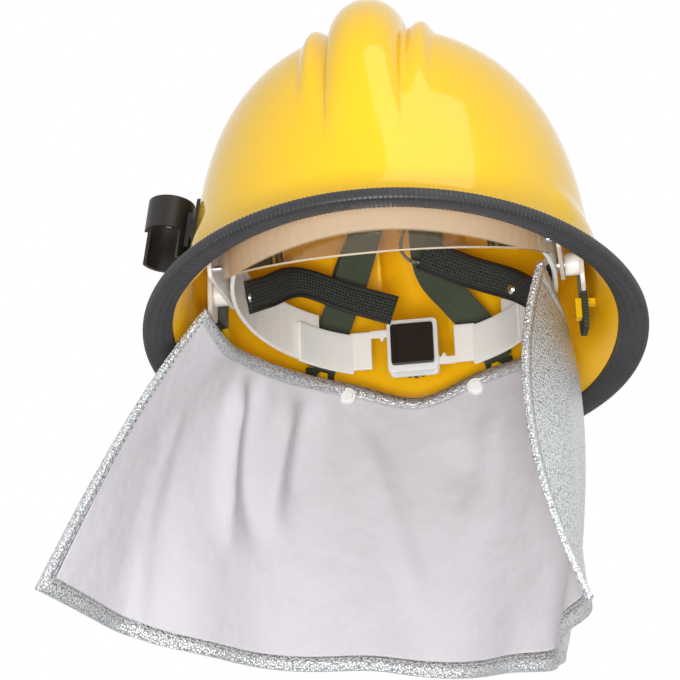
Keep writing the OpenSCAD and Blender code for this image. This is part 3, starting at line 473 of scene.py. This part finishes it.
def strap_piece(name, path, sides, width, thick):
    """A flat strap with rounded edges, and a UV map in millimetres across and along it."""
    e = 0.5 - STRAP_ROUND / width
    section = [(-0.5, 0), (-e, 0.5), (-0.25, 0.5), (0, 0.5), (0.25, 0.5), (e, 0.5),
               (0.5, 0), (e, -0.5), (0.25, -0.5), (0, -0.5), (-0.25, -0.5), (-e, -0.5)]
    n, last, points, lengths, run = len(section), len(path) - 1, [], [], 0.0
    for k, p in enumerate(path):
        ahead = (path[min(k + 1, last)] - path[max(k - 1, 0)]).normalized()
        side = (sides[k] - ahead * sides[k].dot(ahead)).normalized()
        face = ahead.cross(side)
        run += (p - path[k - 1]).length if k else 0
        lengths.append(run)
        points += [p + side * u * width + face * (v * thick) for u, v in section]
    faces = [(i * n + j, i * n + (j + 1) % n, (i + 1) * n + (j + 1) % n, (i + 1) * n + j)
             for i in range(last) for j in range(n)]
    faces += [tuple(range(n))[::-1], tuple(last * n + j for j in range(n))]
    made = mesh_piece(name, points, faces)
    uv = made.data.uv_layers.new(name="cloth_mm")
    for loop in made.data.loops:
        row, j = divmod(loop.vertex_index, n)
        uv.data[loop.index].uv = (section[j][0] * width, lengths[row])
    return made


def smooth_at(route, s):
    """A point at s on the smooth curve through a route's points."""
    k = min(int(s), len(route) - 2)
    t, last = s - k, len(route) - 1
    a, b, c, d = (Vector(route[min(max(k + n, 0), last)]) for n in (-1, 0, 1, 2))
    return b + 0.5 * t * ((c - a) + t * ((2 * a - 5 * b + 4 * c - d)
                                         + t * (3 * b - a - 3 * c + d)))


def along(route, steps):
    return [smooth_at(route, (len(route) - 1) * k / steps) for k in range(steps + 1)]


def diagonal_strap(name, front, rear, route, top):
    """An arch from the headband's front to the crown, then a slack run to the rear wall."""
    path = (arch(front, front, top, STRAP_STEPS)[:STRAP_STEPS // 2]
            + along([(0, 0, top), *route, rear], STRAP_STEPS))
    last, sides = len(path) - 1, []
    for k, p in enumerate(path):
        ahead = (path[min(k + 1, last)] - path[max(k - 1, 0)]).normalized()
        across = ahead.cross(p - HEAD_MID).normalized()
        w = max(0, 4 * k / last - 3) ** 2
        sides.append((across * (1 - w) + flat_side(rear, across) * w).normalized())
    return strap_piece(name, path, sides, WEB_W, WEB_T)


strap_a = diagonal_strap("crown_strap_a", flipped(FRONT_ANCHOR), rear_anchor(46),
                         [(8, 35, 115.5), (11.5, 64, 101), (11.8, 94, 81), (24.5, 96, 61.5),
                          (34.5, 102, 50), (42.5, 107.5, 38)], CROWN_Z)
strap_b = diagonal_strap("crown_strap_b", FRONT_ANCHOR, rear_anchor(-54),
                         [(-9, 35, 113.8), (-17, 58, 101.5), (-26, 78, 88), (-34, 92, 74),
                          (-43.7, 98, 53.5), (-50.5, 103, 38)], CROWN_Z - CROWN_LAYER)
side_path = [Vector((p[0], SIDE_ANCHOR[1] * (abs(p[0]) / SIDE_ANCHOR[0]) ** 0.8, p[2]))
             for p in arch(SIDE_ANCHOR, flipped(SIDE_ANCHOR), CROWN_Z - 2 * CROWN_LAYER,
                           STRAP_STEPS)]
strap_c = strap_piece("crown_strap_side", side_path,
                      strap_sides(SIDE_ANCHOR, flipped(SIDE_ANCHOR), Vector((0, 1, 0)),
                                  STRAP_STEPS), WEB_W, WEB_T)

# Woven polyester webbing: matt, with a herringbone of 1.6 mm rows that catches the light.
ROW_MM, HERRINGBONE_MM = 1.6, 3.2
webbing, tree, shader, place = new_material("woven_polyester_webbing")
cloth = add(tree, "ShaderNodeUVMap", uv_map="cloth_mm")
split = add(tree, "ShaderNodeSeparateXYZ", {"Vector": cloth.outputs["UV"]})
fold = calc(tree, "PINGPONG", split.outputs["X"], HERRINGBONE_MM)
lean = calc(tree, "ADD", split.outputs["Y"], fold)
wave = calc(tree, "SINE", calc(tree, "MULTIPLY", lean, 2 * math.pi / ROW_MM))
high = add(tree, "ShaderNodeMapRange", {"Value": wave, "From Min": -1.0})
wear = add(tree, "ShaderNodeTexNoise", {"Vector": place, "Scale": 60.0, "Detail": 3.0})
weave = tint(tree, high.outputs["Result"], "#262D22", "#48543C")
feed(tree, shader, {"Base Color": tint(tree, wear.outputs["Fac"], weave, "#3A4433"),
                    "Normal": relief(tree, high.outputs["Result"], 0.5, 0.0004),
                    "Roughness": 0.85, "Sheen Weight": 0.25})
for one, node in ((strap_a, "diagonal_strap_a"), (strap_b, "diagonal_strap_b"),
                  (strap_c, "side_strap")):
    paint(one, webbing)
    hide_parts(node)
    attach(one, "shell")


# Neck cape. A sheet of cotton lining and aluminised cloth, bound in silver tape and snapped
# to the shell's rear wall. It hangs from its top edge in soft folds, and its right front
# panel turns inwards, so that its silver side shows.
CAPE_TOP = [(-94, -26, 10), (-89, 6, 7), (-84, 42, 15), (-65, 74, 17), (-34, 104, 18),
            (0, 113, 11), (36, 104, 20), (66, 78, 17), (83, 42, 14), (84, 5, 8), (77, -41, 13)]
CAPE_MID = [(-138, -10, -42), (-132, 26, -49), (-116, 58, -56), (-88, 86, -60),
            (-42, 106, -61), (0, 108, -64), (44, 98, -63), (77, 70, -62), (90, 36, -58),
            (84, 0, -60), (65, -34, -66)]
CAPE_HEM = [(-186, 0, -124), (-160, 47, -130), (-131, 76, -136), (-91, 98, -141),
            (-41, 108, -145), (-4, 110, -149), (36, 100, -155), (60, 76, -160), (73, 42, -160),
            (82, 10, -155), (88.5, -20, -156)]
# Millimetres of cloth for one unit of u and of v, and the cells of the grid along them.
CAPE_U_MM, CAPE_V_MM, CAPE_COLS, CAPE_ROWS = 430, 178, 260, 110
CAPE_T, BINDING, TAPE_T = 2.0, 8, 0.3
# Soft folds: depth at the hem, and degrees of their wave across u and down v.
FOLD, FOLD_ACROSS, FOLD_DOWN = 5, 1800, 40
# Creases that the pull of the snaps draws into the cloth: height, place, lean, width, from,
# to. Height is in mm and the rest in parts of u and v.
CREASES = [(7.5, 0.2, 0.1, 0.016, 0.1, 0.6), (-6.0, 0.236, 0.11, 0.016, 0.08, 0.6),
           (7.0, 0.31, 0.02, 0.014, 0.1, 0.5), (-5.5, 0.342, 0.0, 0.015, 0.1, 0.5),
           (3.4, 0.4, 0.12, 0.02, 0.2, 0.8), (-3.2, 0.5, 0.18, 0.03, 0.25, 0.85),
           (2.0, 0.62, -0.12, 0.02, 0.12, 0.6), (-2.2, 0.7, 0.05, 0.024, 0.15, 0.9),
           (2.4, 0.78, -0.05, 0.016, 0.4, 1.2), (2.0, 0.1, 0.05, 0.018, 0.3, 1.2)]


def cape_plain(u, v):
    """The cape without folds: a parabola down through its top edge, middle and hem."""
    s = u * (len(CAPE_TOP) - 1)
    return (smooth_at(CAPE_TOP, s) * (1 - v) * (1 - 2 * v)
            + smooth_at(CAPE_MID, s) * 4 * v * (1 - v) + smooth_at(CAPE_HEM, s) * v * (2 * v - 1))


def cape_point(u, v, off):
    """A point of the folded and creased cape, off outside its middle surface."""
    e = 0.01
    du = cape_plain(min(u + e, 1), v) - cape_plain(max(u - e, 0), v)
    dv = cape_plain(u, min(v + e, 1)) - cape_plain(u, max(v - e, 0))
    wave = math.sin(math.radians(FOLD_ACROSS * u + FOLD_DOWN * v))
    fold = FOLD * v ** 1.2 * wave * min(1, 8 * u, 8 * (1 - u))
    for high, at, lean, wide, v0, v1 in CREASES:
        shown = ramp(v0 - 0.06, v0 + 0.1, v) * (1 - ramp(v1 - 0.15, v1 + 0.1, v))
        fold += high * math.exp(-((u - at - lean * v) / wide) ** 2) * shown
    return cape_plain(u, v) + dv.cross(du).normalized() * (fold + off)


def cape_sheet(name, us, vs, thick):
    """The cape between its two faces, and each face's material: 0 on the head's side."""
    rows, points = len(vs), []
    for off in (thick / 2, -thick / 2):
        points += [cape_point(u, v, off) for u in us for v in vs]
    half = len(us) * rows

    def at(i, j):
        return i * rows + j

    faces, sides = [], []
    for i in range(len(us) - 1):
        for j in range(rows - 1):
            quad = (at(i, j), at(i + 1, j), at(i + 1, j + 1), at(i, j + 1))
            faces += [quad[::-1], tuple(k + half for k in quad)]
            sides += [0, 1]
    rim = [at(i, j) for i, j in rim_walk(len(us), rows)]
    for one, nxt in zip(rim, rim[1:] + rim[:1]):
        faces.append((one, nxt, nxt + half, one + half))
        sides.append(1)
    made = mesh_piece(name, points, faces)
    uv = made.data.uv_layers.new(name="cloth_mm")
    for loop in made.data.loops:
        i, j = divmod(loop.vertex_index % half, rows)
        uv.data[loop.index].uv = (us[i] * CAPE_U_MM, vs[j] * CAPE_V_MM)
    return made, sides


IN_U, IN_V = BINDING / CAPE_U_MM, BINDING / CAPE_V_MM
us = [IN_U + (1 - 2 * IN_U) * k / CAPE_COLS for k in range(CAPE_COLS + 1)]
vs = [IN_V + (1 - 2 * IN_V) * k / CAPE_ROWS for k in range(CAPE_ROWS + 1)]
cape, cape_sides = cape_sheet("neck_cape", us, vs, CAPE_T)

# Cotton drill lining: pale lavender grey, matt, crumpled, with a slub of 0.6 mm threads.
lining, tree, shader, place = new_material("cotton_drill_lining")
cloth = add(tree, "ShaderNodeUVMap", uv_map="cloth_mm")
slub, cross = (add(tree, "ShaderNodeTexWave", {"Vector": cloth.outputs["UV"], "Scale": 0.5,
                                               "Distortion": 1.5, "Detail": 2.0},
                   bands_direction=way).outputs["Fac"] for way in ("X", "Y"))
stain = add(tree, "ShaderNodeTexNoise", {"Vector": place, "Scale": 14.0, "Detail": 4.0})
crumple = add(tree, "ShaderNodeTexNoise",
              {"Vector": place, "Scale": 26.0, "Detail": 3.0, "Roughness": 0.5})
rumpled = relief(tree, crumple.outputs["Fac"], 0.7, 0.006)
weave = relief(tree, calc(tree, "MULTIPLY", slub, cross), 0.3, 0.0003, Normal=rumpled)
feed(tree, shader, {"Base Color": tint(tree, stain.outputs["Fac"], "#C9C6CB", "#D6D3D8"),
                    "Normal": weave, "Roughness": 0.9, "Sheen Weight": 0.2})

# Aluminised rayon: silver film on cloth, crinkled in facets of about 1.1 mm; each facet's tone,
# bright in its middle and darker at its rim, is painted sparkle.
foil_with_painted_sparkle = patterned("aluminised_rayon_painted_sparkle", "ShaderNodeTexVoronoi", {"Scale": 900.0},
                 ("#F6F7F8", "#959A9D"), (0.7, 0.0009), {"Metallic": 0.6, "Roughness": 0.35},
                 feature="F1")
paint(cape, lining, foil_with_painted_sparkle)
cape.data.polygons.foreach_set("material_index", cape_sides)


def binding_section(i, j):
    """The tape's section at a place on the cape's edge, from its face round to the other."""
    half, edge = CAPE_T / 2 + TAPE_T, (i / CAPE_COLS, j / CAPE_ROWS)
    nose = [cape_point(*edge, half * math.sin(a))
            for a in (math.pi / 2, math.pi / 5, -math.pi / 5, -math.pi / 2)]
    return [cape_point(us[i], vs[j], half), *nose, cape_point(us[i], vs[j], -half)]


binding = mesh_piece("cape_binding_tape",
                     *closed_sweep([binding_section(i, j)
                                    for i, j in rim_walk(CAPE_COLS + 1, CAPE_ROWS + 1)]))
# The binding tape takes the same foil, with its painted sparkle.
paint(binding, foil_with_painted_sparkle)

# One lock stitch each 4 mm holds the binding, on the head's side. Each stitch is a short
# line of three points, three fifths of its pitch long, 1.5 mm from the tape's inner edge.
SEAM_IN, STITCH_UP, STITCH_R = 1.5, 0.4, 0.35
SEAM_U, SEAM_V = IN_U - SEAM_IN / CAPE_U_MM, IN_V - SEAM_IN / CAPE_V_MM
seam = []
for count, at in ((98, lambda t: (t, SEAM_V)), (105, lambda t: (t, 1 - SEAM_V)),
                  (42, lambda t: (SEAM_U, t)), (43, lambda t: (1 - SEAM_U, t))):
    for k in range(count):
        seam += [cape_point(*at((k + 0.2 + 0.3 * n) / count), CAPE_T / 2 + STITCH_UP)
                 for n in range(3)]
stitch_seats = seat_lines("binding_stitch_seats", seam,
                          [(k + n, k + n + 1) for k in range(0, len(seam), 3) for n in (0, 1)])

# Spun polyester thread: pale grey, matt, with a 0.5 mm twist.
thread = patterned("spun_polyester_thread", "ShaderNodeTexWave", {"Scale": 700.0},
                   ("#A9A8AA", "#D4D3D6"), None, {"Roughness": 0.8}, bands_direction="DIAGONAL")
stitches = cords_along("binding_stitches", stitch_seats, STITCH_R, thread)
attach(stitches, "shell")
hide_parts("cape")
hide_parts("cape_binding")
for one in (cape, binding):
    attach(one, "shell")


# Headband, visor arms, brackets, nape straps and ratchet housing. Moulded translucent
# polyethylene, which lets the warm light of the shell through its thin walls. The CAD
# solids stay, as their shapes are right.
clear = patterned("moulded_translucent_polyethylene", "ShaderNodeTexNoise",
                  {"Scale": 30.0, "Detail": 2.0}, ("#FBF7F0", "#F6F0E7"), (0.08, 0.0005),
                  {"Roughness": 0.38, "Subsurface Weight": 0.6, "Subsurface Scale": 1.0,
                   "Subsurface Radius": (0.006, 0.0045, 0.0035)})
for name in ("headband", "nape_strap_left", "nape_strap_right", "ratchet_housing",
             "ratchet_cover", "visor_arm_left", "visor_arm_right", "pivot_bracket_left",
             "pivot_bracket_right", "ratchet_pinion"):
    paint(nodes[name], clear)


# Brow pad. Foam wrapped in black knitted cloth, inside the front of the headband.

# Half its span in degrees, the height of its middle, its middle's distance from the band,
# its half thickness and half height. Then its cells along and round.
PAD_SPAN, PAD_Z, PAD_IN, PAD_HALF_T, PAD_HALF_H = 47, 37, 2.6, 2.3, 11.5
PAD_COLS, PAD_ROWS = 60, 16
# The simulation: cell size in metres, pressure, the most that a point moves, and frames.
PAD_VOXEL, PAD_PRESSURE, PAD_SWELL, PAD_FRAMES = 0.0025, 2.0, 0.0012, 20


def pad_mesh():
    """The pad's closed form along the headband's inner face, slimmer towards its ends."""
    points, n, m = [], PAD_COLS, PAD_ROWS
    for k in range(n + 1):
        a = math.radians(-90 - PAD_SPAN + 2 * PAD_SPAN * k / n)
        full = min(1, 6 * k / n, 6 * (1 - k / n)) ** 0.5
        for j in range(m):
            c, s = math.cos(2 * math.pi * j / m), math.sin(2 * math.pi * j / m)
            depth = PAD_HALF_T * (0.35 + 0.65 * full) * math.copysign(abs(c) ** 0.6, c)
            rise = PAD_HALF_H * (0.6 + 0.4 * full) * math.copysign(abs(s) ** 0.7, s)
            r = BAND_T + PAD_IN - depth
            points.append(((BAND_W - r) * math.cos(a), (BAND_L - r) * math.sin(a), PAD_Z + rise))
    faces = [(i * m + j, i * m + (j + 1) % m, (i + 1) * m + (j + 1) % m, (i + 1) * m + j)
             for i in range(n) for j in range(m)]
    faces += [tuple(range(m))[::-1], tuple(n * m + j for j in range(m))]
    return points, faces


def puffed(source):
    """The pad after the cloth simulation, with no point moved by more than PAD_SWELL."""
    scene = bpy.context.scene
    even = source.modifiers.new("even_mesh", "REMESH")
    even.mode, even.voxel_size = "VOXEL", PAD_VOXEL
    bpy.context.view_layer.update()
    done = source.evaluated_get(bpy.context.evaluated_depsgraph_get())
    data = bpy.data.meshes.new_from_object(done)
    rest = [v.co.copy() for v in data.vertices]
    work = bpy.data.objects.new("pad_work", data)
    scene.collection.objects.link(work)
    cloth = work.modifiers.new("swell", "CLOTH")
    cloth.settings.use_pressure = True
    cloth.settings.uniform_pressure_force = PAD_PRESSURE
    cloth.settings.effector_weights.gravity = 0
    cloth.point_cache.frame_start, cloth.point_cache.frame_end = 1, PAD_FRAMES
    for k in range(1, PAD_FRAMES + 1):
        scene.frame_set(k)
    made = plain(work, source.name + "_swollen")
    scene.frame_set(1)
    for v, first in zip(made.data.vertices, rest):
        moved = v.co - first
        v.co = first + moved * min(1, PAD_SWELL / max(moved.length, 1e-9))
    bpy.data.objects.remove(source)
    return made


brow_pad = mesh_piece("brow_pad_foam", *pad_mesh())
brow_pad = puffed(brow_pad)

# Knitted cloth over foam: black, soft, with 1.5 mm knit cells.
knit = patterned("knitted_polyester_over_foam", "ShaderNodeTexVoronoi", {"Scale": 660.0},
                 ("#3A3D3A", "#1E201E"), (0.5, 0.0005), {"Roughness": 0.9, "Sheen Weight": 0.3})
paint(brow_pad, knit)
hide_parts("brow_pad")
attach(brow_pad, "shell")


# Comfort bands. Dark spacer mesh with a black woven binding on both edges, 18 mm wide in
# all. Each runs from a rivet on the headband round the rear of the crown.
MESH_W, MESH_T, EDGE_W, EDGE_T, EDGE_OUT, MESH_STEPS = 16.4, 1.8, 2.6, 2.3, 7.6, 60
RIVET_Y = 18
RIVET_X = (BAND_W - BAND_T) * math.sqrt(1 - (RIVET_Y / (BAND_L - BAND_T)) ** 2) - MESH_T / 2
COMFORT_RIGHT = [(RIVET_X, RIVET_Y, 31), (73.4, 40, 32.7), (58.1, 62, 51.7), (34.7, 74, 67.6),
                 (8.6, 78, 83.1)]
COMFORT_LEFT = [(-RIVET_X, RIVET_Y, 36), (-73.2, 43, 51), (-59.3, 67, 67), (-33.4, 82.5, 62),
                (-9, 86.7, 54)]
# The direction of the right band's width at each point of its route; the left one's is up.
RIGHT_SIDES = [(0, 0, 1), (-0.1, 0, 1), (-0.2, -0.1, 1), (-0.2, -0.3, 1), (0, -0.4, 1)]

# Spacer mesh: black polyester in 1.8 mm open cells over a padded core. The cells' middles are
# painted near black: painted shade in the holes.
mesh_cloth, tree, shader, _ = new_material("polyester_spacer_mesh")
cloth = add(tree, "ShaderNodeUVMap", uv_map="cloth_mm")
cells = add(tree, "ShaderNodeTexVoronoi",
            {"Vector": cloth.outputs["UV"], "Scale": 0.55, "Randomness": 0.15})
# Near black at each cell's middle: painted shade in the open holes.
hole_shade = add(tree, "ShaderNodeMapRange",
            {"Value": cells.outputs["Distance"], "From Min": 0.25, "From Max": 0.5})
feed(tree, shader, {"Base Color": tint(tree, hole_shade.outputs["Result"], "#141614", "#3B423C"),
                    "Normal": relief(tree, hole_shade.outputs["Result"], 0.8, 0.0008),
                    "Roughness": 0.8})

# Smooth black polyester tape: satin, with a fine rib of 0.5 mm along its length.
tape, tree, shader, _ = new_material("smooth_polyester_tape")
cloth = add(tree, "ShaderNodeUVMap", uv_map="cloth_mm")
rib = add(tree, "ShaderNodeTexWave", {"Vector": cloth.outputs["UV"], "Scale": 0.6},
          bands_direction="X")
feed(tree, shader, {"Base Color": tint(tree, rib.outputs["Fac"], "#151413", "#262422"),
                    "Normal": relief(tree, rib.outputs["Fac"], 0.3, 0.0003),
                    "Roughness": 0.5})

for side, route, sides in (("right", COMFORT_RIGHT, RIGHT_SIDES),
                           ("left", COMFORT_LEFT, [(0, 0, 1)] * len(COMFORT_LEFT))):
    path, wide = along(route, MESH_STEPS), along(sides, MESH_STEPS)
    band = strap_piece("comfort_band_mesh_" + side, path, wide, MESH_W, MESH_T)
    paint(band, mesh_cloth)
    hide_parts("comfort_band_" + side)
    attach(band, "shell")
    for edge, shift in (("upper", EDGE_OUT), ("lower", -EDGE_OUT)):
        moved = []
        for k, p in enumerate(path):
            ahead = (path[min(k + 1, MESH_STEPS)] - path[max(k - 1, 0)]).normalized()
            moved.append(p + (wide[k] - ahead * wide[k].dot(ahead)).normalized() * shift)
        border = strap_piece("band_binding_%s_%s" % (edge, side), moved, wide, EDGE_W, EDGE_T)
        paint(border, tape)
        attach(border, "shell")


# Rear strap. A smooth black tape, 10 mm wide, from the left rear webbing to the shell's
# rear wall.
REAR_STRAP = [(-17, 56, 103.2), (-28.8, 79, 95), (-37.5, 91, 84), (-42, 99, 73),
              (-45, wall_y(45, 60, SHELL_T + 0.2), 60)]
REAR_W, REAR_T, REAR_STEPS = 10, 1.2, 40
rear_strap = strap_piece("rear_tape_strap", along(REAR_STRAP, REAR_STEPS),
                         [Vector((1, 0.35, 0))] * (REAR_STEPS + 1), REAR_W, REAR_T)
paint(rear_strap, tape)
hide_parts("rear_strap")
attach(rear_strap, "shell")


# Lace. A thin grey cord, tied to the right rear webbing and to the right comfort band's
# upper end.
LACE_ROUTE = [(5, 60, 102), (-2.3, 76, 92), (-2.1, 79, 85), (3, 80, 80), (12, 80.2, 78.6)]
LACE_R, LACE_SIDES, LACE_STEPS = 1.0, 12, 60


def tube_piece(name, path, radius, sides):
    """A round cord along a path, closed at both ends."""
    points, last = [], len(path) - 1
    for k, p in enumerate(path):
        ahead = (path[min(k + 1, last)] - path[max(k - 1, 0)]).normalized()
        side = ahead.cross(Vector((0.3, 1, 0.2))).normalized()
        other = ahead.cross(side)
        points += [p + radius * (c * side + s * other) for c, s in round_trip(sides)]
    faces = [(i * sides + j, i * sides + (j + 1) % sides,
              (i + 1) * sides + (j + 1) % sides, (i + 1) * sides + j)
             for i in range(last) for j in range(sides)]
    faces += [tuple(range(sides))[::-1], tuple(last * sides + j for j in range(sides))]
    return mesh_piece(name, points, faces)


# Braided cotton lace: grey, in 1 mm plaits.
lace = patterned("braided_cotton_lace", "ShaderNodeTexWave", {"Scale": 300.0},
                 ("#4B4843", "#8B877F"), (0.6, 0.0004), {"Roughness": 0.85},
                 bands_direction="DIAGONAL")
lace_cord = tube_piece("grey_lace", along(LACE_ROUTE, LACE_STEPS), LACE_R, LACE_SIDES)
paint(lace_cord, lace)
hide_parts("crown_lace")
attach(lace_cord, "shell")


# Small fittings. The straps' sewn ends, the black nylon of the ratchet's pad and knob and
# of the torch clip, the bright rivets and pins, and the white snaps. These CAD solids stay
# and get the finish of the real piece.

# Sewn webbing tabs: olive, dense, folded double, in rows 1.7 mm apart.
tabs = patterned("sewn_webbing_tab", "ShaderNodeTexWave", {"Scale": 180.0, "Distortion": 0.6},
                 ("#23281F", "#3E4735"), (0.4, 0.0004), {"Roughness": 0.85},
                 bands_direction="Z")
paint(nodes["strap_ends"], tabs)

# Black moulded nylon: satin, with a fine spark-eroded grain of 0.7 mm.
nylon = patterned("black_moulded_nylon", "ShaderNodeTexNoise", {"Scale": 1400.0, "Detail": 2.0},
                  ("#1C1816", "#2A2522"), (0.15, 0.0002),
                  {"Roughness": 0.4, "Specular IOR Level": 0.35})
for name in ("ratchet_pad", "ratchet_knob", "clip_base", "torch_clip"):
    paint(nodes[name], nylon)

# Nickel-plated steel: bright, with faint uneven wear.
nickel, tree, shader, place = new_material("nickel_plated_steel")
wear = add(tree, "ShaderNodeTexNoise", {"Vector": place, "Scale": 500.0, "Detail": 3.0})
rough = add(tree, "ShaderNodeMapRange",
            {"Value": wear.outputs["Fac"], "To Min": 0.22, "To Max": 0.38})
feed(tree, shader, {"Base Color": srgb("#C9CDCE"), "Roughness": rough.outputs["Result"],
                    "Metallic": 1.0})
for name in ("band_rivets", "knob_screw", "visor_rivets", "pivot_pins", "clip_pin"):
    paint(nodes[name], nickel)

# White acetal snaps: smooth, with a soft gloss.
acetal = patterned("white_moulded_acetal", "ShaderNodeTexNoise", {"Scale": 80.0},
                   ("#F4F4F2", "#E6E6E3"), None, {"Roughness": 0.3})
for name in ("cape_snaps", "snap_sockets"):
    paint(nodes[name], acetal)


# Eye shield. A clear curved sheet that turns about the pivots and stows under the brim.
# Its upper part is frosted, and its polished lower edge carries a painted highlight: a pale
# opaque band.

# The pivots' place in metres, and angles in degrees as seen from them. Upwards from FROST_END
# the frost sets in over FROST_SOFT, and 5 degrees lower at 70 mm to each side, so that the
# clear strip narrows towards its ends. Below EDGE_HIGH the edge gets a painted highlight.
PIVOT_Y, PIVOT_Z = 0.010, 0.035
FROST_END, FROST_SOFT, FROST_DROP, DROP_AT = -15.8, 0.6, 5, 0.07
EDGE_LOW, EDGE_HIGH = -20.15, -20.0
# Clear polycarbonate: a faint warm tint, glossy on both faces.
visor_paint, tree, shader, place = new_material("clear_polycarbonate_sheet")
split = add(tree, "ShaderNodeSeparateXYZ", {"Vector": place})
ahead = calc(tree, "SUBTRACT", PIVOT_Y, split.outputs["Y"])
above = calc(tree, "SUBTRACT", split.outputs["Z"], PIVOT_Z)
lift = calc(tree, "ARCTAN2", above, ahead)
aside = calc(tree, "POWER", split.outputs["X"], 2.0)
even = calc(tree, "MULTIPLY_ADD", aside, math.radians(FROST_DROP) / DROP_AT ** 2, lift)
frost = add(tree, "ShaderNodeMapRange",
            {"Value": even, "From Min": math.radians(FROST_END),
             "From Max": math.radians(FROST_END + FROST_SOFT), "To Min": 0.03, "To Max": 0.76})
# Painted highlight: a pale opaque band along the visor's lower edge.
edge = add(tree, "ShaderNodeMapRange",
           {"Value": lift, "From Min": math.radians(EDGE_LOW),
            "From Max": math.radians(EDGE_HIGH), "To Min": 0.85, "To Max": 0.0})
cover = calc(tree, "MAXIMUM", frost.outputs["Result"], edge.outputs["Result"])
see = add(tree, "ShaderNodeBsdfTransparent", {"Color": srgb("#E4DCC4")})
both = add(tree, "ShaderNodeMixShader",
           {"Fac": cover, 1: see.outputs["BSDF"], 2: shader.outputs["BSDF"]})
shine = add(tree, "ShaderNodeBsdfGlossy", {"Roughness": 0.05})
fresnel = add(tree, "ShaderNodeFresnel", {"IOR": 1.58})
coated = add(tree, "ShaderNodeMixShader",
             {"Fac": fresnel.outputs["Fac"], 1: both.outputs["Shader"], 2: shine.outputs["BSDF"]})
feed(tree, tree.nodes["Material Output"], {"Surface": coated.outputs["Shader"]})
feed(tree, shader, {"Base Color": srgb("#DAC8B0"), "Roughness": 0.3})
paint(nodes["visor"], visor_paint)


# Studio. A plain pale floor well below, soft lamps, and the camera of the photograph: 25
# degrees below the brim's plane, looking up into the helmet, with a narrow field of view.
FLOOR_Z, FLOOR_HALF = -2600, 9000
floor = mesh_piece("studio_floor", [(x * FLOOR_HALF, y * FLOOR_HALF, FLOOR_Z)
                                    for x, y in ((-1, -1), (1, -1), (1, 1), (-1, 1))],
                   [(0, 1, 2, 3)], smooth=False)


def shown_rays(tree):
    """1 for camera, glossy and transmission rays, and 0 for the rays that only carry light."""
    paths = add(tree, "ShaderNodeLightPath")
    seen = calc(tree, "MAXIMUM", paths.outputs["Is Camera Ray"], paths.outputs["Is Glossy Ray"])
    return calc(tree, "MAXIMUM", seen, paths.outputs["Is Transmission Ray"])


# Matt white paper: where it is seen, a faint glow of its own keeps it pale.
pale = bpy.data.materials.new("matt_white_paper")
pale.use_nodes = True
tree = pale.node_tree
tree.nodes.clear()
matt = add(tree, "ShaderNodeBsdfDiffuse", {"Color": srgb("#E4E4E4")})
glow = add(tree, "ShaderNodeEmission", {"Color": (1, 1, 1, 1), "Strength": 0.25})
lit = add(tree, "ShaderNodeAddShader", {0: matt.outputs["BSDF"], 1: glow.outputs["Emission"]})
mixed = add(tree, "ShaderNodeMixShader",
            {"Fac": shown_rays(tree), 1: matt.outputs["BSDF"], 2: lit.outputs["Shader"]})
add(tree, "ShaderNodeOutputMaterial", {"Surface": mixed.outputs["Shader"]})
paint(floor, pale)

# The world lights at a plain level, and is white where it is seen.
world = bpy.data.worlds.new("soft_studio")
bpy.context.scene.world = world
world.use_nodes = True
tree = world.node_tree
tree.nodes.clear()
soft = add(tree, "ShaderNodeBackground", {"Color": (1, 1, 1, 1), "Strength": 0.48})
white = add(tree, "ShaderNodeBackground", {"Color": (1, 1, 1, 1), "Strength": 1.0})
mixed = add(tree, "ShaderNodeMixShader",
            {"Fac": shown_rays(tree), 1: soft.outputs["Background"],
             2: white.outputs["Background"]})
add(tree, "ShaderNodeOutputWorld", {"Surface": mixed.outputs["Shader"]})

# Square lamps that face the helmet: place and size in metres, and watts.
LAMPS = (("key_lamp", (0.9, -1.15, 0.9), 1.5, 11), ("fill_lamp", (-1.5, -0.9, 0.3), 1.6, 1.5),
         ("under_lamp", (0.05, -1.2, -0.72), 0.5, 18))
LAMP_AIM = Vector((0, 0, 0.02))
for name, spot, size, power in LAMPS:
    lamp = bpy.data.lights.new(name, "AREA")
    lamp.shape, lamp.size, lamp.energy = "SQUARE", size, power
    held = bpy.data.objects.new(name, lamp)
    bpy.context.scene.collection.objects.link(held)
    held.location = spot
    held.rotation_euler = (LAMP_AIM - Vector(spot)).to_track_quat("-Z", "Y").to_euler()

# The fitted camera: its angles, metres from the origin, focal length in pixels, the
# photograph's size, and the pixel where the origin falls in it.
RISE, TURN, ROLL = math.radians(-25.0), math.radians(-5.5), math.radians(2.6)
AWAY, LENS_PX, PHOTO_PX, ORIGIN_X, ORIGIN_Y, SENSOR_MM = 1.2, 2345, 680, 396.5, 332.3, 36
ahead = Vector((math.sin(TURN) * math.cos(RISE), math.cos(TURN) * math.cos(RISE),
                -math.sin(RISE)))
right = Vector((math.cos(TURN), -math.sin(TURN), 0))
up = right.cross(ahead)
cam_right = right * math.cos(ROLL) - up * math.sin(ROLL)
cam_up = right * math.sin(ROLL) + up * math.cos(ROLL)
aim = (ahead - cam_right * (ORIGIN_X - PHOTO_PX / 2) / LENS_PX
       - cam_up * (PHOTO_PX / 2 - ORIGIN_Y) / LENS_PX).normalized()
cam_right = (cam_right - aim * cam_right.dot(aim)).normalized()
cam_up = cam_right.cross(aim)
lens = bpy.data.cameras.new("photo_camera")
lens.sensor_width, lens.lens = SENSOR_MM, LENS_PX / PHOTO_PX * SENSOR_MM
camera = bpy.data.objects.new("photo_camera", lens)
bpy.context.scene.collection.objects.link(camera)
camera.location = ahead * -AWAY
camera.rotation_mode = "QUATERNION"
camera.rotation_quaternion = Matrix((cam_right, cam_up, -aim)).transposed().to_quaternion()
bpy.context.scene.camera = camera
bpy.context.scene.view_settings.view_transform = "Standard"
